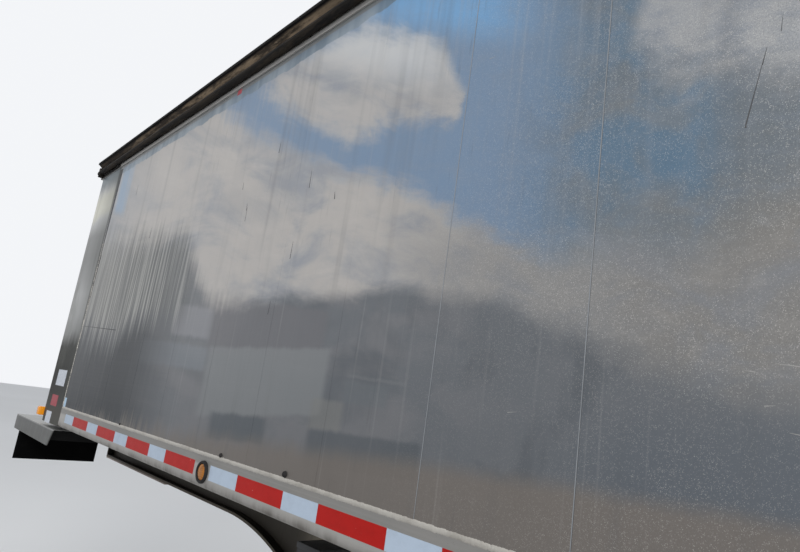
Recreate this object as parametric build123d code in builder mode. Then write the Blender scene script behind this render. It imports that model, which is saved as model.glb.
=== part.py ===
from build123d import *
import os
from math import acos, atan2, degrees, radians, sin, sqrt

# Frame-type end-dump semi trailer with a smooth-sided aluminium bed and a side-roll tarp.
# Millimetres, +X forward, +Y to the trailer's left, +Z up, origin on the ground under the
# middle of the overall length and width. The trailer stands on its landing legs.

# Overall sizes
bed_width = 2438.0
bed_length = 9750.0
deck_length = 730.0
gate_setback = 6.0
gate_thickness = 45.0
gate_rib_depth = 60.0
rear_overhang = 165.0

overall_length = deck_length + bed_length + gate_setback + gate_thickness + gate_rib_depth
half_width = bed_width / 2
deck_front_x = overall_length / 2
bed_front_x = deck_front_x - deck_length
bed_rear_x = bed_front_x - bed_length
hinge_x = bed_rear_x + rear_overhang

# Heights
frame_top_z = 1400.0
hinge_drop = 100.0
bed_seat_gap = 10.0
sill_height = 94.0
rail_height = 114.0
wall_height = 1605.0
hinge_z = frame_top_z - hinge_drop
sill_bottom_z = frame_top_z + bed_seat_gap
rail_bottom_z = sill_bottom_z + sill_height
rail_top_z = rail_bottom_z + rail_height
wall_top_z = rail_top_z + wall_height

# Main frame
beam_center_y = 460.0
beam_flange_width = 110.0
beam_flange = 14.0
beam_web = 10.0
neck_depth = 200.0
main_depth = 500.0
neck_length = 2165.0
drop_radius = 1650.0
rear_end_depth = 220.0
rear_rise_length = 620.0
rear_rise_slope = (main_depth - rear_end_depth) / rear_rise_length
beam_end_offset = 100.0
beam_inner_y = beam_center_y - beam_flange_width / 2
beam_outer_y = beam_center_y + beam_flange_width / 2
web_inner_y = beam_center_y - beam_web / 2
web_outer_y = beam_center_y + beam_web / 2
neck_bottom_z = frame_top_z - neck_depth
main_bottom_z = frame_top_z - main_depth
neck_rear_x = deck_front_x - neck_length
drop_angle = degrees(acos(1 - (main_depth - neck_depth) / (2 * drop_radius)))
drop_length = 2 * drop_radius * sin(radians(drop_angle))
main_front_x = neck_rear_x - drop_length
beam_rear_x = hinge_x + beam_end_offset

# Crossmembers of the frame
cross_height = 160.0
cross_width = 90.0
cross_plate = 8.0
cross_top_gap = 25.0
cross_pitch = 1050.0
cross_neck_offset = 160.0
cross_drop_share = 0.45
cross_main_offset = 260.0
cross_axle_offset = 650.0
cross_rear_offset = 560.0

# Coupler and kingpin
kingpin_setback = 510.0
kingpin_radius = 25.4
kingpin_collar_radius = 36.5
kingpin_collar_height = 35.0
kingpin_neck_height = 34.0
kingpin_foot_height = 15.0
coupler_plate_thickness = 10.0
coupler_length = 1250.0
coupler_rib_height = 24.0
coupler_rib_plate = 10.0
coupler_rib_places = [-230.0, 0.0, 230.0]
coupler_rib_setback = 120.0
coupler_nose_setback = 4.0
kingpin_x = deck_front_x - kingpin_setback
coupler_bottom_z = neck_bottom_z - coupler_plate_thickness

# Front deck
deck_top_z = 1475.0
deck_plate = 6.0
deck_skirt_height = 104.0
deck_skirt_thickness = 6.0
deck_under_bed = 365.0
deck_skirt_slant = 75.0
deck_bearer_width = 60.0
deck_front_bearer_setback = 70.0
deck_mid_bearer_ahead = 60.0
deck_rear_bearer_ahead = 120.0
deck_stringer_width = 50.0
deck_opening_ahead = 40.0
deck_front_lip_rise = 30.0
well_rear_ahead = 100.0
well_half_width = 250.0
well_front_margin = 45.0
sill_well_half_width = 600.0
deck_rear_x = bed_front_x - deck_under_bed
flap_setback = 160.0
flap_thickness = 10.0
flap_bottom_z = 1170.0
flap_inner_y = 654.0

# Hoist, upright ahead of the bed
hoist_ahead = 550.0
hoist_lower_z = 1345.0
hoist_upper_z = 3000.0
hoist_radii = [115.0, 105.0, 92.0, 80.0, 68.0, 56.0]
hoist_running_gap = 0.5
hoist_base_height = 70.0
hoist_barrel_height = 1470.0
hoist_head_step = 22.0
hoist_head_lip = 7.0
hoist_trunnion_radius = 40.0
hoist_trunnion_half = 205.0
hoist_eye_radius = 62.0
hoist_eye_width = 130.0
hoist_eye_bore = 32.0
hoist_eye_stem = 80.0
hoist_foot_drop = 20.0
hoist_knuckle_radius = 55.0
hoist_knuckle_half = 110.0
hoist_collar_height = 60.0
hoist_collar_lip = 8.0
hoist_stage_step = 10.0
cradle_length = 180.0
cradle_gap = 20.0
cradle_ear_width = 35.0
cradle_ear_inset = 45.0
cradle_ear_radius = 60.0
hoist_x = bed_front_x + hoist_ahead
pin_gap = 0.1
seat_gap = 0.3
bracket_gap = 12.0
bracket_plate = 25.0
bracket_ear_radius = 75.0
bracket_back = 12.0
bracket_rise = 180.0
bracket_fall = 320.0
bracket_back_rise = 200.0
bracket_back_fall = 360.0
bracket_back_half = 300.0
bracket_hub_radius = 45.0
bracket_hub_width = 14.0

# Landing legs
leg_x = 1715.0
leg_y = 920.0
leg_width = 126.0
leg_inner_width = 100.0
leg_top_z = 1390.0
leg_outer_bottom_z = 560.0
leg_foot_size = 270.0
leg_foot_plate = 22.0
leg_foot_height = 70.0
leg_foot_chamfer = 10.0
leg_foot_collar = 12.0
bracket_top_z = 1290.0
bracket_low_z = 1010.0
bracket_thickness = 8.0
strut_low_z = 600.0
strut_depth = 80.0
strut_top_out = 85.0
leg_shaft_radius = 16.0
leg_shaft_drop = 50.0
crank_hub_radius = 32.0
crank_hub_width = 30.0
crank_shaft_radius = 12.0
crank_shaft_length = 110.0
crank_lever_width = 28.0
crank_lever_plate = 12.0
crank_lever_length = 340.0
crank_handle_inset = 15.0
crank_handle_length = 90.0

# Running gear
axle_spacing = 1245.0
axle_rear_offset = 790.0
tyre_radius = 525.0
tyre_half_width = 138.0
bead_radius = 286.0
bead_half_width = 100.0
rim_wall = 13.0
rim_flange_height = 14.0
rim_flange_width = 10.0
dual_center_y = 908.0
dual_spacing = 340.0
disc_thickness = 12.0
disc_dish = 70.0
disc_flat_radius = 165.0
disc_bore = 90.0
flange_gap = 3.0
tyre_wall_share = 0.45
tyre_shoulder_share = 0.74
tyre_edge_share = 0.94
tyre_edge_drop = 36.0
hand_hole_radius = 26.0
hand_hole_place = 232.0
hand_hole_count = 5
hub_radius = 110.0
hub_cap_radius = 75.0
hub_reach = 150.0
hub_flange_reach = 60.0
drum_radius = 205.0
drum_wall = 16.0
drum_setback = 60.0
drum_web = 20.0
drum_inner_y = 625.0
drum_gap = 6.0
backing_plate = 12.0
axle_beam_radius = 63.5
spindle_radius = 45.0
spindle_reach = 100.0
axle_tube_reach = 60.0
spring_width = 76.0
spring_leaf = 14.0
spring_leaves = 3
spring_span = 1080.0
spring_sag = 60.0
spring_step_share = 0.22
spring_seat_rise = 20.0
hanger_length = 190.0
hanger_width = 100.0
hanger_plate = 10.0
hanger_height = 330.0
hanger_pad = 30.0
hanger_end_offset = 20.0
rocker_reach = 165.0
rocker_foot = 85.0
rocker_arch_run = 25.0
rocker_arch_rise = 35.0
rocker_end_taper = 10.0
rocker_end_share = 0.45
rocker_top_share = 0.4
rocker_boss_share = 0.55
rocker_height = 120.0
rocker_width = 60.0
rocker_boss_radius = 35.0
rod_height = 44.0
rod_width = 40.0
rod_pin_radius = 12.0
rod_hanger_rise = 40.0
rod_axle_rise = 35.0
rod_axle_reach = 112.0
fork_plate = 15.0
fork_reach = 140.0
fork_half_height = 26.0
seat_half_length = 66.0
u_bolt_radius = 9.0
u_bolt_reach = 78.0
u_bolt_spread = 50.0
clamp_half_length = 95.0
clamp_half_width = 64.0
clamp_plate = 16.0
bolt_reach = 25.0
clamp_bite = 3.0
chamber_setback = 190.0
chamber_radius = 78.0
chamber_inner_y = 200.0
chamber_length = 140.0
chamber_arm_inset = 55.0
chamber_arm = 30.0
chamber_rise = 40.0
chamber_arm_low = 5.0
chamber_arm_high = 55.0
axle_z = tyre_radius
axle_rear_x = hinge_x + axle_rear_offset
axle_front_x = axle_rear_x + axle_spacing

# Air tanks
tank_radius = 125.0
tank_length = 760.0
tank_center_y = 170.0
tank_gap = 12.0
tank_saddle_half_width = 60.0
tank_saddle_half_length = 30.0
tank_saddle_bite = 20.0
tank_cross_index = 3

# Bed
floor_thickness = 8.0
floor_top_z = rail_top_z - 8.0
rail_width = 60.0
rail_wall = 6.0
rail_round = 18.0
wall_thickness = 35.0
front_post_length = 440.0
front_post_return = 120.0
front_post_round = 40.0
rear_post_width = 110.0
rear_post_depth = 120.0
lug_half_length = 35.0
lug_thickness = 16.0
bed_cross_pitch = 305.0
bed_cross_width = 60.0
bed_cross_plate = 6.0
bed_cross_front_gap = 200.0
sill_width = 90.0
sill_front_gap = 170.0
sill_pad = 12.0
bulkhead_rib_places = [350.0, 760.0]
bulkhead_rib_width = 70.0
bulkhead_rib_depth = 40.0
top_rail_height = 67.0
top_rail_width = 35.0
top_lip_height = 21.0
top_lip_out = 6.0
eave_out = 45.0
eave_height = 40.0
eave_thickness = 8.0
rail_inner_y = half_width - rail_width
top_rail_top_z = wall_top_z + top_rail_height
floor_bottom_z = floor_top_z - floor_thickness

# Tarp
bow_depth = 32.0
bow_width = 38.0
bow_crown = 150.0
bow_count = 6
bow_rear_setback = 420.0
bow_front_setback = 260.0
bow_end_inset = 10.0
tarp_thickness = 8.0
tarp_edge_out = 20.0
tarp_half = half_width + tarp_edge_out
roll_radius = 20.0
cap_plate = 6.0
crank_rod_radius = 11.0
crank_setback = 45.0
crank_low_z = 1750.0
crank_arm = 260.0
crank_arm_plate = 12.0
crank_arm_height = 26.0
crank_grip = 140.0
crank_grip_radius = 13.0
crank_knuckle_wall = 3.0
crank_clip_z = [2000.0, 2900.0]
crank_clip_height = 30.0

# Tailgate
gate_bottom_z = rail_bottom_z + 40.0
gate_top_z = wall_top_z - 40.0
gate_pin_height = 90.0
gate_pin_ahead = 45.0
gate_pin_radius = 16.0
arm_width = 26.0
arm_outer_gap = 6.0
arm_radius = 34.0
arm_toe = 12.0
arm_heel = 20.0
gate_front_x = bed_rear_x - gate_setback
gate_rear_x = gate_front_x - gate_thickness
gate_pin_x = bed_rear_x + gate_pin_ahead
gate_pin_z = wall_top_z + gate_pin_height

# Hinge at the rear of the frame
hinge_block_radius = 70.0
hinge_pin_radius = 37.5
hinge_ear_plate = 25.0
hinge_ear_gap = 12.0
hinge_pin_cap = 8.0
hinge_pin_cap_radius = 48.0
hinge_ear_length = 190.0
hinge_ear_toe_share = 0.7
hinge_ear_fall_share = 0.6

# Rear guard and lamps
guard_bar_height = 100.0
guard_bar_depth = 60.0
guard_bottom_z = 460.0
guard_end_inset = 99.0
guard_setback = 140.0
guard_strut = 70.0
gate_rib_height = 90.0
gate_rib_count = 5
light_bar_height = 110.0
light_bar_z = 960.0
light_bar_plate = 8.0
light_bar_ahead = 40.0
light_bar_end_inset = 120.0
light_places = [700.0, 850.0, 1000.0]
lamp_radius = 50.0
lamp_depth = 14.0

# Mud flaps
rear_flap_setback = 90.0
rear_flap_low_z = 280.0
rear_flap_end_inset = 50.0
flap_bar = 40.0
flap_bar_end_inset = 40.0

# Air and light couplings
stand_setback = 110.0
stand_plate = 8.0
stand_inner_y = 320.0
stand_outer_y = 560.0
stand_height = 170.0
coupling_rise = 115.0
coupling_length = 62.0
air_coupling_radius = 24.0
air_coupling_spread = 75.0
socket_y = 440.0
socket_radius = 34.0
socket_bore = 24.0
socket_depth = 40.0

# Lamps in the bottom rails and on the corner posts
rail_lamp_places = [2095.0, bed_rear_x + 260.0]
rail_lamp_radius = 27.5
rail_lamp_z = 1560.0
rail_lamp_out = 6.0
corner_lamp_size = 50.0
corner_lamp_depth = 45.0
corner_lamp_inset = 10.0

os.makedirs("parts", exist_ok=True)


def save(piece, name):
    """Label a finished piece and write it under its own name."""
    piece.part.label = name
    export_step(piece.part, f"parts/{name}.step")


def block(x, y, z, mode=Mode.ADD):
    """Box between the two ends given for each direction."""
    middle = ((x[0] + x[1]) / 2, (y[0] + y[1]) / 2, (z[0] + z[1]) / 2)
    with Locations(middle):
        Box(x[1] - x[0], y[1] - y[0], z[1] - z[0], mode=mode)


def shaft(x, z, radius, y, mode=Mode.ADD):
    """Round bar along Y between the two ends given."""
    with BuildSketch(Plane.XZ.offset(-y[0])) as end:
        with Locations((x, z)):
            Circle(radius)
    extrude(end.sketch, amount=y[0] - y[1], mode=mode)


def side_plate(points, y, mode=Mode.ADD):
    """Flat plate of the side outline given, between two places along Y."""
    with BuildSketch(Plane.XZ.offset(-y[0])) as outline:
        with BuildLine():
            Polyline(*points, close=True)
        make_face()
    extrude(outline.sketch, amount=y[0] - y[1], mode=mode)


# Main frame: two I-beams with a shallow neck, a curved drop and a raised rear end


def beam_outline(y, inset):
    """Side outline of a beam at a place across, moved in by the flange where asked."""
    top = frame_top_z - inset
    neck = neck_bottom_z + inset
    low = main_bottom_z + inset
    front = deck_front_x - inset
    rear = beam_rear_x + inset
    rise_x = beam_rear_x + rear_rise_length
    rear_low = frame_top_z - rear_end_depth + inset
    upper_radius = drop_radius + inset
    lower_radius = drop_radius - inset
    with BuildSketch(Plane.XZ.offset(-y)) as outline:
        with BuildLine():
            Line((rear, top), (front, top))
            Line((front, top), (front, neck))
            forward = Line((front, neck), (neck_rear_x, neck))
            upper = JernArc(forward @ 1, (-1, 0), upper_radius, drop_angle)
            lower = JernArc(upper @ 1, upper % 1, lower_radius, -drop_angle)
            Line(lower @ 1, (rise_x, low))
            Line((rise_x, low), (rear, rear_low))
            Line((rear, rear_low), (rear, top))
        make_face()
    return outline.sketch


with BuildPart() as main_beams:
    beam_half = beam_flange_width / 2
    web_half = beam_web / 2
    extrude(beam_outline(beam_center_y, 0), amount=beam_half, both=True)
    for side in (-1, 1):
        pocket = beam_outline(beam_center_y + side * beam_half, beam_flange)
        extrude(pocket, amount=side * (beam_half - web_half), mode=Mode.SUBTRACT)
    mirror(about=Plane.XZ)
save(main_beams, "main_beams")

# Crossmembers: one at the neck, one in the drop, a row behind it, three about the axles
cross_places = [neck_rear_x + cross_neck_offset, main_front_x + drop_length * cross_drop_share]
cross_row_front = main_front_x - cross_main_offset
cross_row_rear = axle_front_x + cross_axle_offset
cross_row_steps = round((cross_row_front - cross_row_rear) / cross_pitch)
for step in range(cross_row_steps + 1):
    cross_places.append(cross_row_front + (cross_row_rear - cross_row_front) * step / cross_row_steps)
cross_places.append((axle_front_x + axle_rear_x) / 2)
cross_places.append(axle_rear_x - cross_rear_offset)
cross_top_z = frame_top_z - cross_top_gap

with BuildPart() as frame_crossmembers:
    for place in cross_places:
        front = place + cross_width / 2
        rear = place - cross_width / 2
        across = (-web_inner_y, web_inner_y)
        bottom = cross_top_z - cross_height
        web_half = cross_plate / 2
        block((rear, front), across, (cross_top_z - cross_plate, cross_top_z))
        block((rear, front), across, (bottom, bottom + cross_plate))
        block((place - web_half, place + web_half), across, (bottom, cross_top_z))
save(frame_crossmembers, "frame_crossmembers")

# Coupler plate under the neck with stiffening ribs on it, and the kingpin below it
coupler_front_x = deck_front_x - coupler_nose_setback
coupler_rear_x = coupler_front_x - coupler_length

with BuildPart() as coupler_plate:
    block(
        (coupler_rear_x, coupler_front_x),
        (-beam_outer_y, beam_outer_y),
        (coupler_bottom_z, neck_bottom_z),
    )
    for rib_y in coupler_rib_places:
        block(
            (coupler_rear_x, hoist_x - coupler_rib_setback),
            (rib_y - coupler_rib_plate / 2, rib_y + coupler_rib_plate / 2),
            (neck_bottom_z, neck_bottom_z + coupler_rib_height),
        )
save(coupler_plate, "coupler_plate")

with BuildPart() as kingpin:
    collar_low = coupler_bottom_z - kingpin_collar_height
    neck_low = collar_low - kingpin_neck_height
    foot_low = neck_low - kingpin_foot_height
    for low, high, radius in (
        (collar_low, coupler_bottom_z, kingpin_collar_radius),
        (neck_low, collar_low, kingpin_radius),
        (foot_low, neck_low, kingpin_collar_radius),
    ):
        with BuildSketch(Plane.XY.offset(low)):
            with Locations((kingpin_x, 0)):
                Circle(radius)
        extrude(amount=high - low)
save(kingpin, "kingpin")

# Front deck: plate with skirts, carried on bearers across the neck
skirt_low_z = deck_top_z - deck_skirt_height
deck_plate_low_z = deck_top_z - deck_plate

with BuildPart() as front_deck:
    block((deck_rear_x, deck_front_x), (-half_width, half_width), (deck_plate_low_z, deck_top_z))
    block(
        (deck_rear_x - 1, bed_front_x + deck_opening_ahead),
        (-sill_well_half_width, sill_well_half_width),
        (deck_plate_low_z, deck_top_z),
        Mode.SUBTRACT,
    )
    for side in (-1, 1):
        outer = side * half_width
        inner = side * (half_width - deck_skirt_thickness)
        side_plate(
            [
                (deck_rear_x, deck_top_z),
                (deck_front_x, deck_top_z),
                (deck_front_x, skirt_low_z),
                (deck_rear_x + deck_skirt_slant, skirt_low_z),
            ],
            (min(outer, inner), max(outer, inner)),
        )
    block(
        (deck_front_x - deck_skirt_thickness, deck_front_x),
        (-half_width, half_width),
        (skirt_low_z + deck_front_lip_rise, deck_top_z),
    )
    bearer_outer = half_width - deck_skirt_thickness
    stringer_front_x = bed_front_x + deck_mid_bearer_ahead
    for bearer_x in (stringer_front_x, deck_front_x - deck_front_bearer_setback):
        block(
            (bearer_x - deck_bearer_width / 2, bearer_x + deck_bearer_width / 2),
            (-bearer_outer, bearer_outer),
            (frame_top_z, deck_plate_low_z),
        )
    for side in (-1, 1):
        ends = sorted((side * sill_well_half_width, side * bearer_outer))
        bearer_rear_x = deck_rear_x + deck_rear_bearer_ahead
        block(
            (bearer_rear_x, bearer_rear_x + deck_bearer_width),
            ends,
            (frame_top_z, deck_plate_low_z),
        )
        stringer_outer_y = sill_well_half_width + deck_stringer_width
        stringer = sorted((side * sill_well_half_width, side * stringer_outer_y))
        block((bearer_rear_x, stringer_front_x), stringer, (frame_top_z, deck_plate_low_z))
    block(
        (bed_front_x + well_rear_ahead, deck_front_x - well_front_margin),
        (-well_half_width, well_half_width),
        (frame_top_z, deck_top_z),
        Mode.SUBTRACT,
    )
save(front_deck, "front_deck")

with BuildPart() as front_flaps:
    flap_x = deck_front_x - flap_setback
    block(
        (flap_x - flap_thickness, flap_x),
        (flap_inner_y, half_width - deck_skirt_thickness),
        (flap_bottom_z, deck_plate_low_z),
    )
    mirror(about=Plane.XZ)
save(front_flaps, "front_flaps")

# Hoist cradle: cross beam between the neck's webs with two ears that hold the trunnion
ear_inner_y = hoist_trunnion_half - cradle_ear_inset
cradle_top_z = hoist_lower_z - hoist_radii[0] / 2 - cradle_gap

with BuildPart() as hoist_cradle:
    block(
        (hoist_x - cradle_length / 2, hoist_x + cradle_length / 2),
        (-web_inner_y, web_inner_y),
        (neck_bottom_z + beam_flange, cradle_top_z),
    )
    for side in (-1, 1):
        ends = sorted((side * ear_inner_y, side * (ear_inner_y + cradle_ear_width)))
        block(
            (hoist_x - cradle_ear_radius, hoist_x + cradle_ear_radius),
            ends,
            (neck_bottom_z + beam_flange, hoist_lower_z),
        )
        shaft(hoist_x, hoist_lower_z, cradle_ear_radius, ends)
    shaft(
        hoist_x,
        hoist_lower_z,
        hoist_trunnion_radius + pin_gap,
        (-web_inner_y, web_inner_y),
        Mode.SUBTRACT,
    )
save(hoist_cradle, "hoist_cradle")

# Telescopic hoist: a barrel and five stages, each inside the one before
barrel_top_z = hoist_lower_z + hoist_barrel_height
barrel_floor_z = hoist_lower_z + hoist_base_height

with BuildPart() as hoist_barrel:
    barrel_low_z = hoist_lower_z - hoist_foot_drop
    with BuildSketch(Plane.XY.offset(barrel_low_z)):
        with Locations((hoist_x, 0)):
            Circle(hoist_radii[0])
    extrude(amount=barrel_top_z - barrel_low_z)
    knuckle_ends = (-hoist_knuckle_half, hoist_knuckle_half)
    shaft(hoist_x, hoist_lower_z, hoist_knuckle_radius, knuckle_ends)
    shaft(hoist_x, hoist_lower_z, hoist_trunnion_radius, (-hoist_trunnion_half, hoist_trunnion_half))
    with BuildSketch(Plane.XY.offset(barrel_top_z - hoist_collar_height)):
        with Locations((hoist_x, 0)):
            Circle(hoist_radii[0] + hoist_collar_lip)
    extrude(amount=hoist_collar_height)
    with BuildSketch(Plane.XY.offset(barrel_floor_z)):
        with Locations((hoist_x, 0)):
            Circle(hoist_radii[1] + hoist_running_gap)
    extrude(amount=barrel_top_z - barrel_floor_z, mode=Mode.SUBTRACT)
save(hoist_barrel, "hoist_barrel")

last_stage = len(hoist_radii) - 1
for stage in range(1, last_stage + 1):
    stage_low = barrel_floor_z + hoist_stage_step * stage
    stage_top = barrel_top_z + hoist_head_step * stage
    head_low = stage_top - hoist_head_step + 1
    radius = hoist_radii[stage]
    with BuildPart() as hoist_stage:
        with BuildSketch(Plane.XY.offset(stage_low)):
            with Locations((hoist_x, 0)):
                Circle(radius)
        extrude(amount=stage_top - stage_low)
        with BuildSketch(Plane.XY.offset(head_low)):
            with Locations((hoist_x, 0)):
                Circle(radius + hoist_head_lip)
        extrude(amount=stage_top - head_low)
        if stage < last_stage:
            with BuildSketch(Plane.XY.offset(stage_low)):
                with Locations((hoist_x, 0)):
                    Circle(hoist_radii[stage + 1] + hoist_running_gap)
            extrude(amount=stage_top - stage_low, mode=Mode.SUBTRACT)
        else:
            eye_half = hoist_eye_width / 2
            shaft(hoist_x, hoist_upper_z, hoist_eye_radius, (-eye_half, eye_half))
            block(
                (hoist_x - hoist_eye_stem / 2, hoist_x + hoist_eye_stem / 2),
                (-eye_half, eye_half),
                (stage_top, hoist_upper_z),
            )
            shaft(hoist_x, hoist_upper_z, hoist_eye_bore, (-eye_half, eye_half), Mode.SUBTRACT)
    save(hoist_stage, f"hoist_stage_{stage}")

# Landing legs: square outer tube, inner tube and foot, on brackets from the beams
leg_half = leg_width / 2

with BuildPart() as landing_legs:
    inner_half = leg_inner_width / 2
    foot_half = leg_foot_size / 2
    block(
        (leg_x - leg_half, leg_x + leg_half),
        (leg_y - leg_half, leg_y + leg_half),
        (leg_outer_bottom_z, leg_top_z),
    )
    block(
        (leg_x - inner_half, leg_x + inner_half),
        (leg_y - inner_half, leg_y + inner_half),
        (leg_foot_height, leg_outer_bottom_z),
    )
    block(
        (leg_x - inner_half - leg_foot_collar, leg_x + inner_half + leg_foot_collar),
        (leg_y - inner_half, leg_y + inner_half),
        (leg_foot_plate, leg_foot_height),
    )
    with BuildSketch(Plane.XY):
        with Locations((leg_x, leg_y)):
            Rectangle(2 * foot_half, 2 * foot_half)
    foot = extrude(amount=leg_foot_plate)
    chamfer(foot.faces().sort_by(Axis.Z)[-1].edges(), leg_foot_chamfer)
    mirror(about=Plane.XZ)
save(landing_legs, "landing_legs")

with BuildPart() as landing_brackets:
    leg_inner_y = leg_y - leg_half
    for plate_x in (leg_x - leg_half, leg_x + leg_half - bracket_thickness):
        block(
            (plate_x, plate_x + bracket_thickness),
            (web_outer_y, leg_inner_y),
            (bracket_low_z, bracket_top_z),
        )
        with BuildSketch(Plane.YZ.offset(plate_x)):
            with BuildLine():
                Polyline(
                    (leg_inner_y, strut_low_z),
                    (leg_inner_y, strut_low_z + strut_depth),
                    (beam_outer_y + strut_top_out, bracket_low_z),
                    (beam_outer_y + strut_top_out - strut_depth, bracket_low_z),
                    close=True,
                )
            make_face()
        extrude(amount=bracket_thickness)
    block(
        (leg_x - leg_half, leg_x + leg_half),
        (leg_inner_y - bracket_thickness, leg_inner_y),
        (bracket_low_z, bracket_top_z),
    )
    mirror(about=Plane.XZ)
    shaft_z = main_bottom_z - leg_shaft_drop
    shaft(leg_x, shaft_z, leg_shaft_radius, (-leg_inner_y, leg_inner_y))
save(landing_brackets, "landing_brackets")

with BuildPart() as landing_crank:
    crank_z = main_bottom_z - leg_shaft_drop
    crank_inner = leg_y + leg_half
    lever_outer = crank_inner + crank_shaft_length
    lever_half = crank_lever_width / 2
    shaft(leg_x, crank_z, crank_hub_radius, (crank_inner, crank_inner + crank_hub_width))
    shaft(leg_x, crank_z, crank_shaft_radius, (crank_inner, lever_outer))
    block(
        (leg_x - lever_half, leg_x + crank_lever_length),
        (lever_outer - crank_lever_plate, lever_outer),
        (crank_z - lever_half, crank_z + lever_half),
    )
    shaft(
        leg_x + crank_lever_length - crank_handle_inset,
        crank_z,
        crank_shaft_radius,
        (lever_outer, lever_outer + crank_handle_length),
    )
save(landing_crank, "landing_crank")

# Suspension: hangers under the beams, leaf springs, rockers, radius rods and the two axles
hanger_end = spring_span / 2 + hanger_end_offset
hanger_middle_x = (axle_front_x + axle_rear_x) / 2
hanger_places = [axle_front_x + hanger_end, hanger_middle_x, axle_rear_x - hanger_end]
hanger_low_z = main_bottom_z - hanger_height
hanger_inner_y = beam_center_y - hanger_width / 2
hanger_outer_y = beam_center_y + hanger_width / 2
spring_seat_z = axle_z + axle_beam_radius + spring_seat_rise
spring_end_z = spring_seat_z + spring_leaves * spring_leaf + spring_sag
rocker_foot_z = spring_end_z + seat_gap
rod_hanger_z = hanger_low_z + rod_hanger_rise
rod_axle_z = axle_z + rod_axle_rise

with BuildPart() as spring_hangers:
    for place in hanger_places:
        for side in (-1, 1):
            plate_y = beam_center_y + side * (hanger_width - hanger_plate) / 2
            plate_ends = (plate_y - hanger_plate / 2, plate_y + hanger_plate / 2)
            side_plate(
                [
                    (place - hanger_length / 2, main_bottom_z),
                    (place + hanger_length / 2, main_bottom_z),
                    (place + hanger_length / 3, hanger_low_z),
                    (place - hanger_length / 3, hanger_low_z),
                ],
                plate_ends,
            )
            if place != hanger_places[-1]:
                shaft(place, rod_hanger_z, rod_pin_radius + pin_gap, plate_ends, Mode.SUBTRACT)
        block(
            (place - hanger_length / 2, place + hanger_length / 2),
            (hanger_inner_y, hanger_outer_y),
            (main_bottom_z - hanger_plate, main_bottom_z),
        )
        if place != hanger_middle_x:
            block(
                (place - hanger_length / 3, place + hanger_length / 3),
                (hanger_inner_y, hanger_outer_y),
                (rocker_foot_z, rocker_foot_z + hanger_pad),
            )
    mirror(about=Plane.XZ)
save(spring_hangers, "spring_hangers")

# Rockers between the springs, and radius rods from the hangers to the axles, on their pins
with BuildPart() as suspension_arms:
    rocker_half = rocker_width / 2
    rocker_top = rocker_foot_z + rocker_height
    middle = hanger_middle_x
    arch_reach = rocker_reach - rocker_foot - rocker_arch_run
    end_reach = rocker_reach - rocker_end_taper
    end_z = rocker_foot_z + rocker_height * rocker_end_share
    side_plate(
        [
            (middle - rocker_reach, rocker_foot_z),
            (middle - rocker_reach + rocker_foot, rocker_foot_z),
            (middle - arch_reach, rocker_foot_z + rocker_arch_rise),
            (middle + arch_reach, rocker_foot_z + rocker_arch_rise),
            (middle + rocker_reach - rocker_foot, rocker_foot_z),
            (middle + rocker_reach, rocker_foot_z),
            (middle + end_reach, end_z),
            (middle + rocker_reach * rocker_top_share, rocker_top),
            (middle - rocker_reach * rocker_top_share, rocker_top),
            (middle - end_reach, end_z),
        ],
        (beam_center_y - rocker_half, beam_center_y + rocker_half),
    )
    boss_ends = (hanger_inner_y + hanger_plate, hanger_outer_y - hanger_plate)
    boss_z = rocker_foot_z + rocker_height * rocker_boss_share
    shaft(middle, boss_z, rocker_boss_radius, boss_ends)
    for hanger_x, axle_x in ((hanger_places[0], axle_front_x), (hanger_middle_x, axle_rear_x)):
        rod_rear_x = axle_x + rod_axle_reach
        run = hanger_x - rod_rear_x
        rise = rod_hanger_z - rod_axle_z
        with BuildSketch(Plane.XZ.offset(-(beam_center_y - rod_width / 2))):
            with Locations(((hanger_x + rod_rear_x) / 2, (rod_hanger_z + rod_axle_z) / 2)):
                SlotCenterToCenter(
                    sqrt(run**2 + rise**2), rod_height, rotation=degrees(atan2(rise, run))
                )
        extrude(amount=-rod_width)
        shaft(hanger_x, rod_hanger_z, rod_height / 2, boss_ends)
        shaft(hanger_x, rod_hanger_z, rod_pin_radius, (hanger_inner_y, hanger_outer_y))
        pin_half = rod_width / 2 + fork_plate
        pin_ends = (beam_center_y - pin_half, beam_center_y + pin_half)
        shaft(rod_rear_x, rod_axle_z, rod_pin_radius, pin_ends)
    mirror(about=Plane.XZ)
save(suspension_arms, "suspension_arms")

with BuildPart() as leaf_springs:
    for axle_x in (axle_front_x, axle_rear_x):
        for leaf in range(spring_leaves):
            shortened = spring_step_share * (spring_leaves - 1 - leaf)
            half_span = spring_span / 2 * (1 - shortened)
            low = spring_seat_z + leaf * spring_leaf
            rise = spring_sag * (half_span / (spring_span / 2)) ** 2
            with BuildSketch(Plane.XZ.offset(-beam_center_y)):
                with BuildLine():
                    under = ThreePointArc(
                        (axle_x - half_span, low + rise),
                        (axle_x, low),
                        (axle_x + half_span, low + rise),
                    )
                    Line(under @ 1, (axle_x + half_span, low + rise + spring_leaf))
                    over = ThreePointArc(
                        (axle_x + half_span, low + rise + spring_leaf),
                        (axle_x, low + spring_leaf),
                        (axle_x - half_span, low + rise + spring_leaf),
                    )
                    Line(over @ 1, under @ 0)
                make_face()
            extrude(amount=spring_width / 2, both=True)
    mirror(about=Plane.XZ)
save(leaf_springs, "leaf_springs")

clamp_rise = spring_sag * (clamp_half_length / (spring_span / 2)) ** 2
clamp_top_z = spring_seat_z + spring_leaves * spring_leaf + clamp_rise + seat_gap

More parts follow.
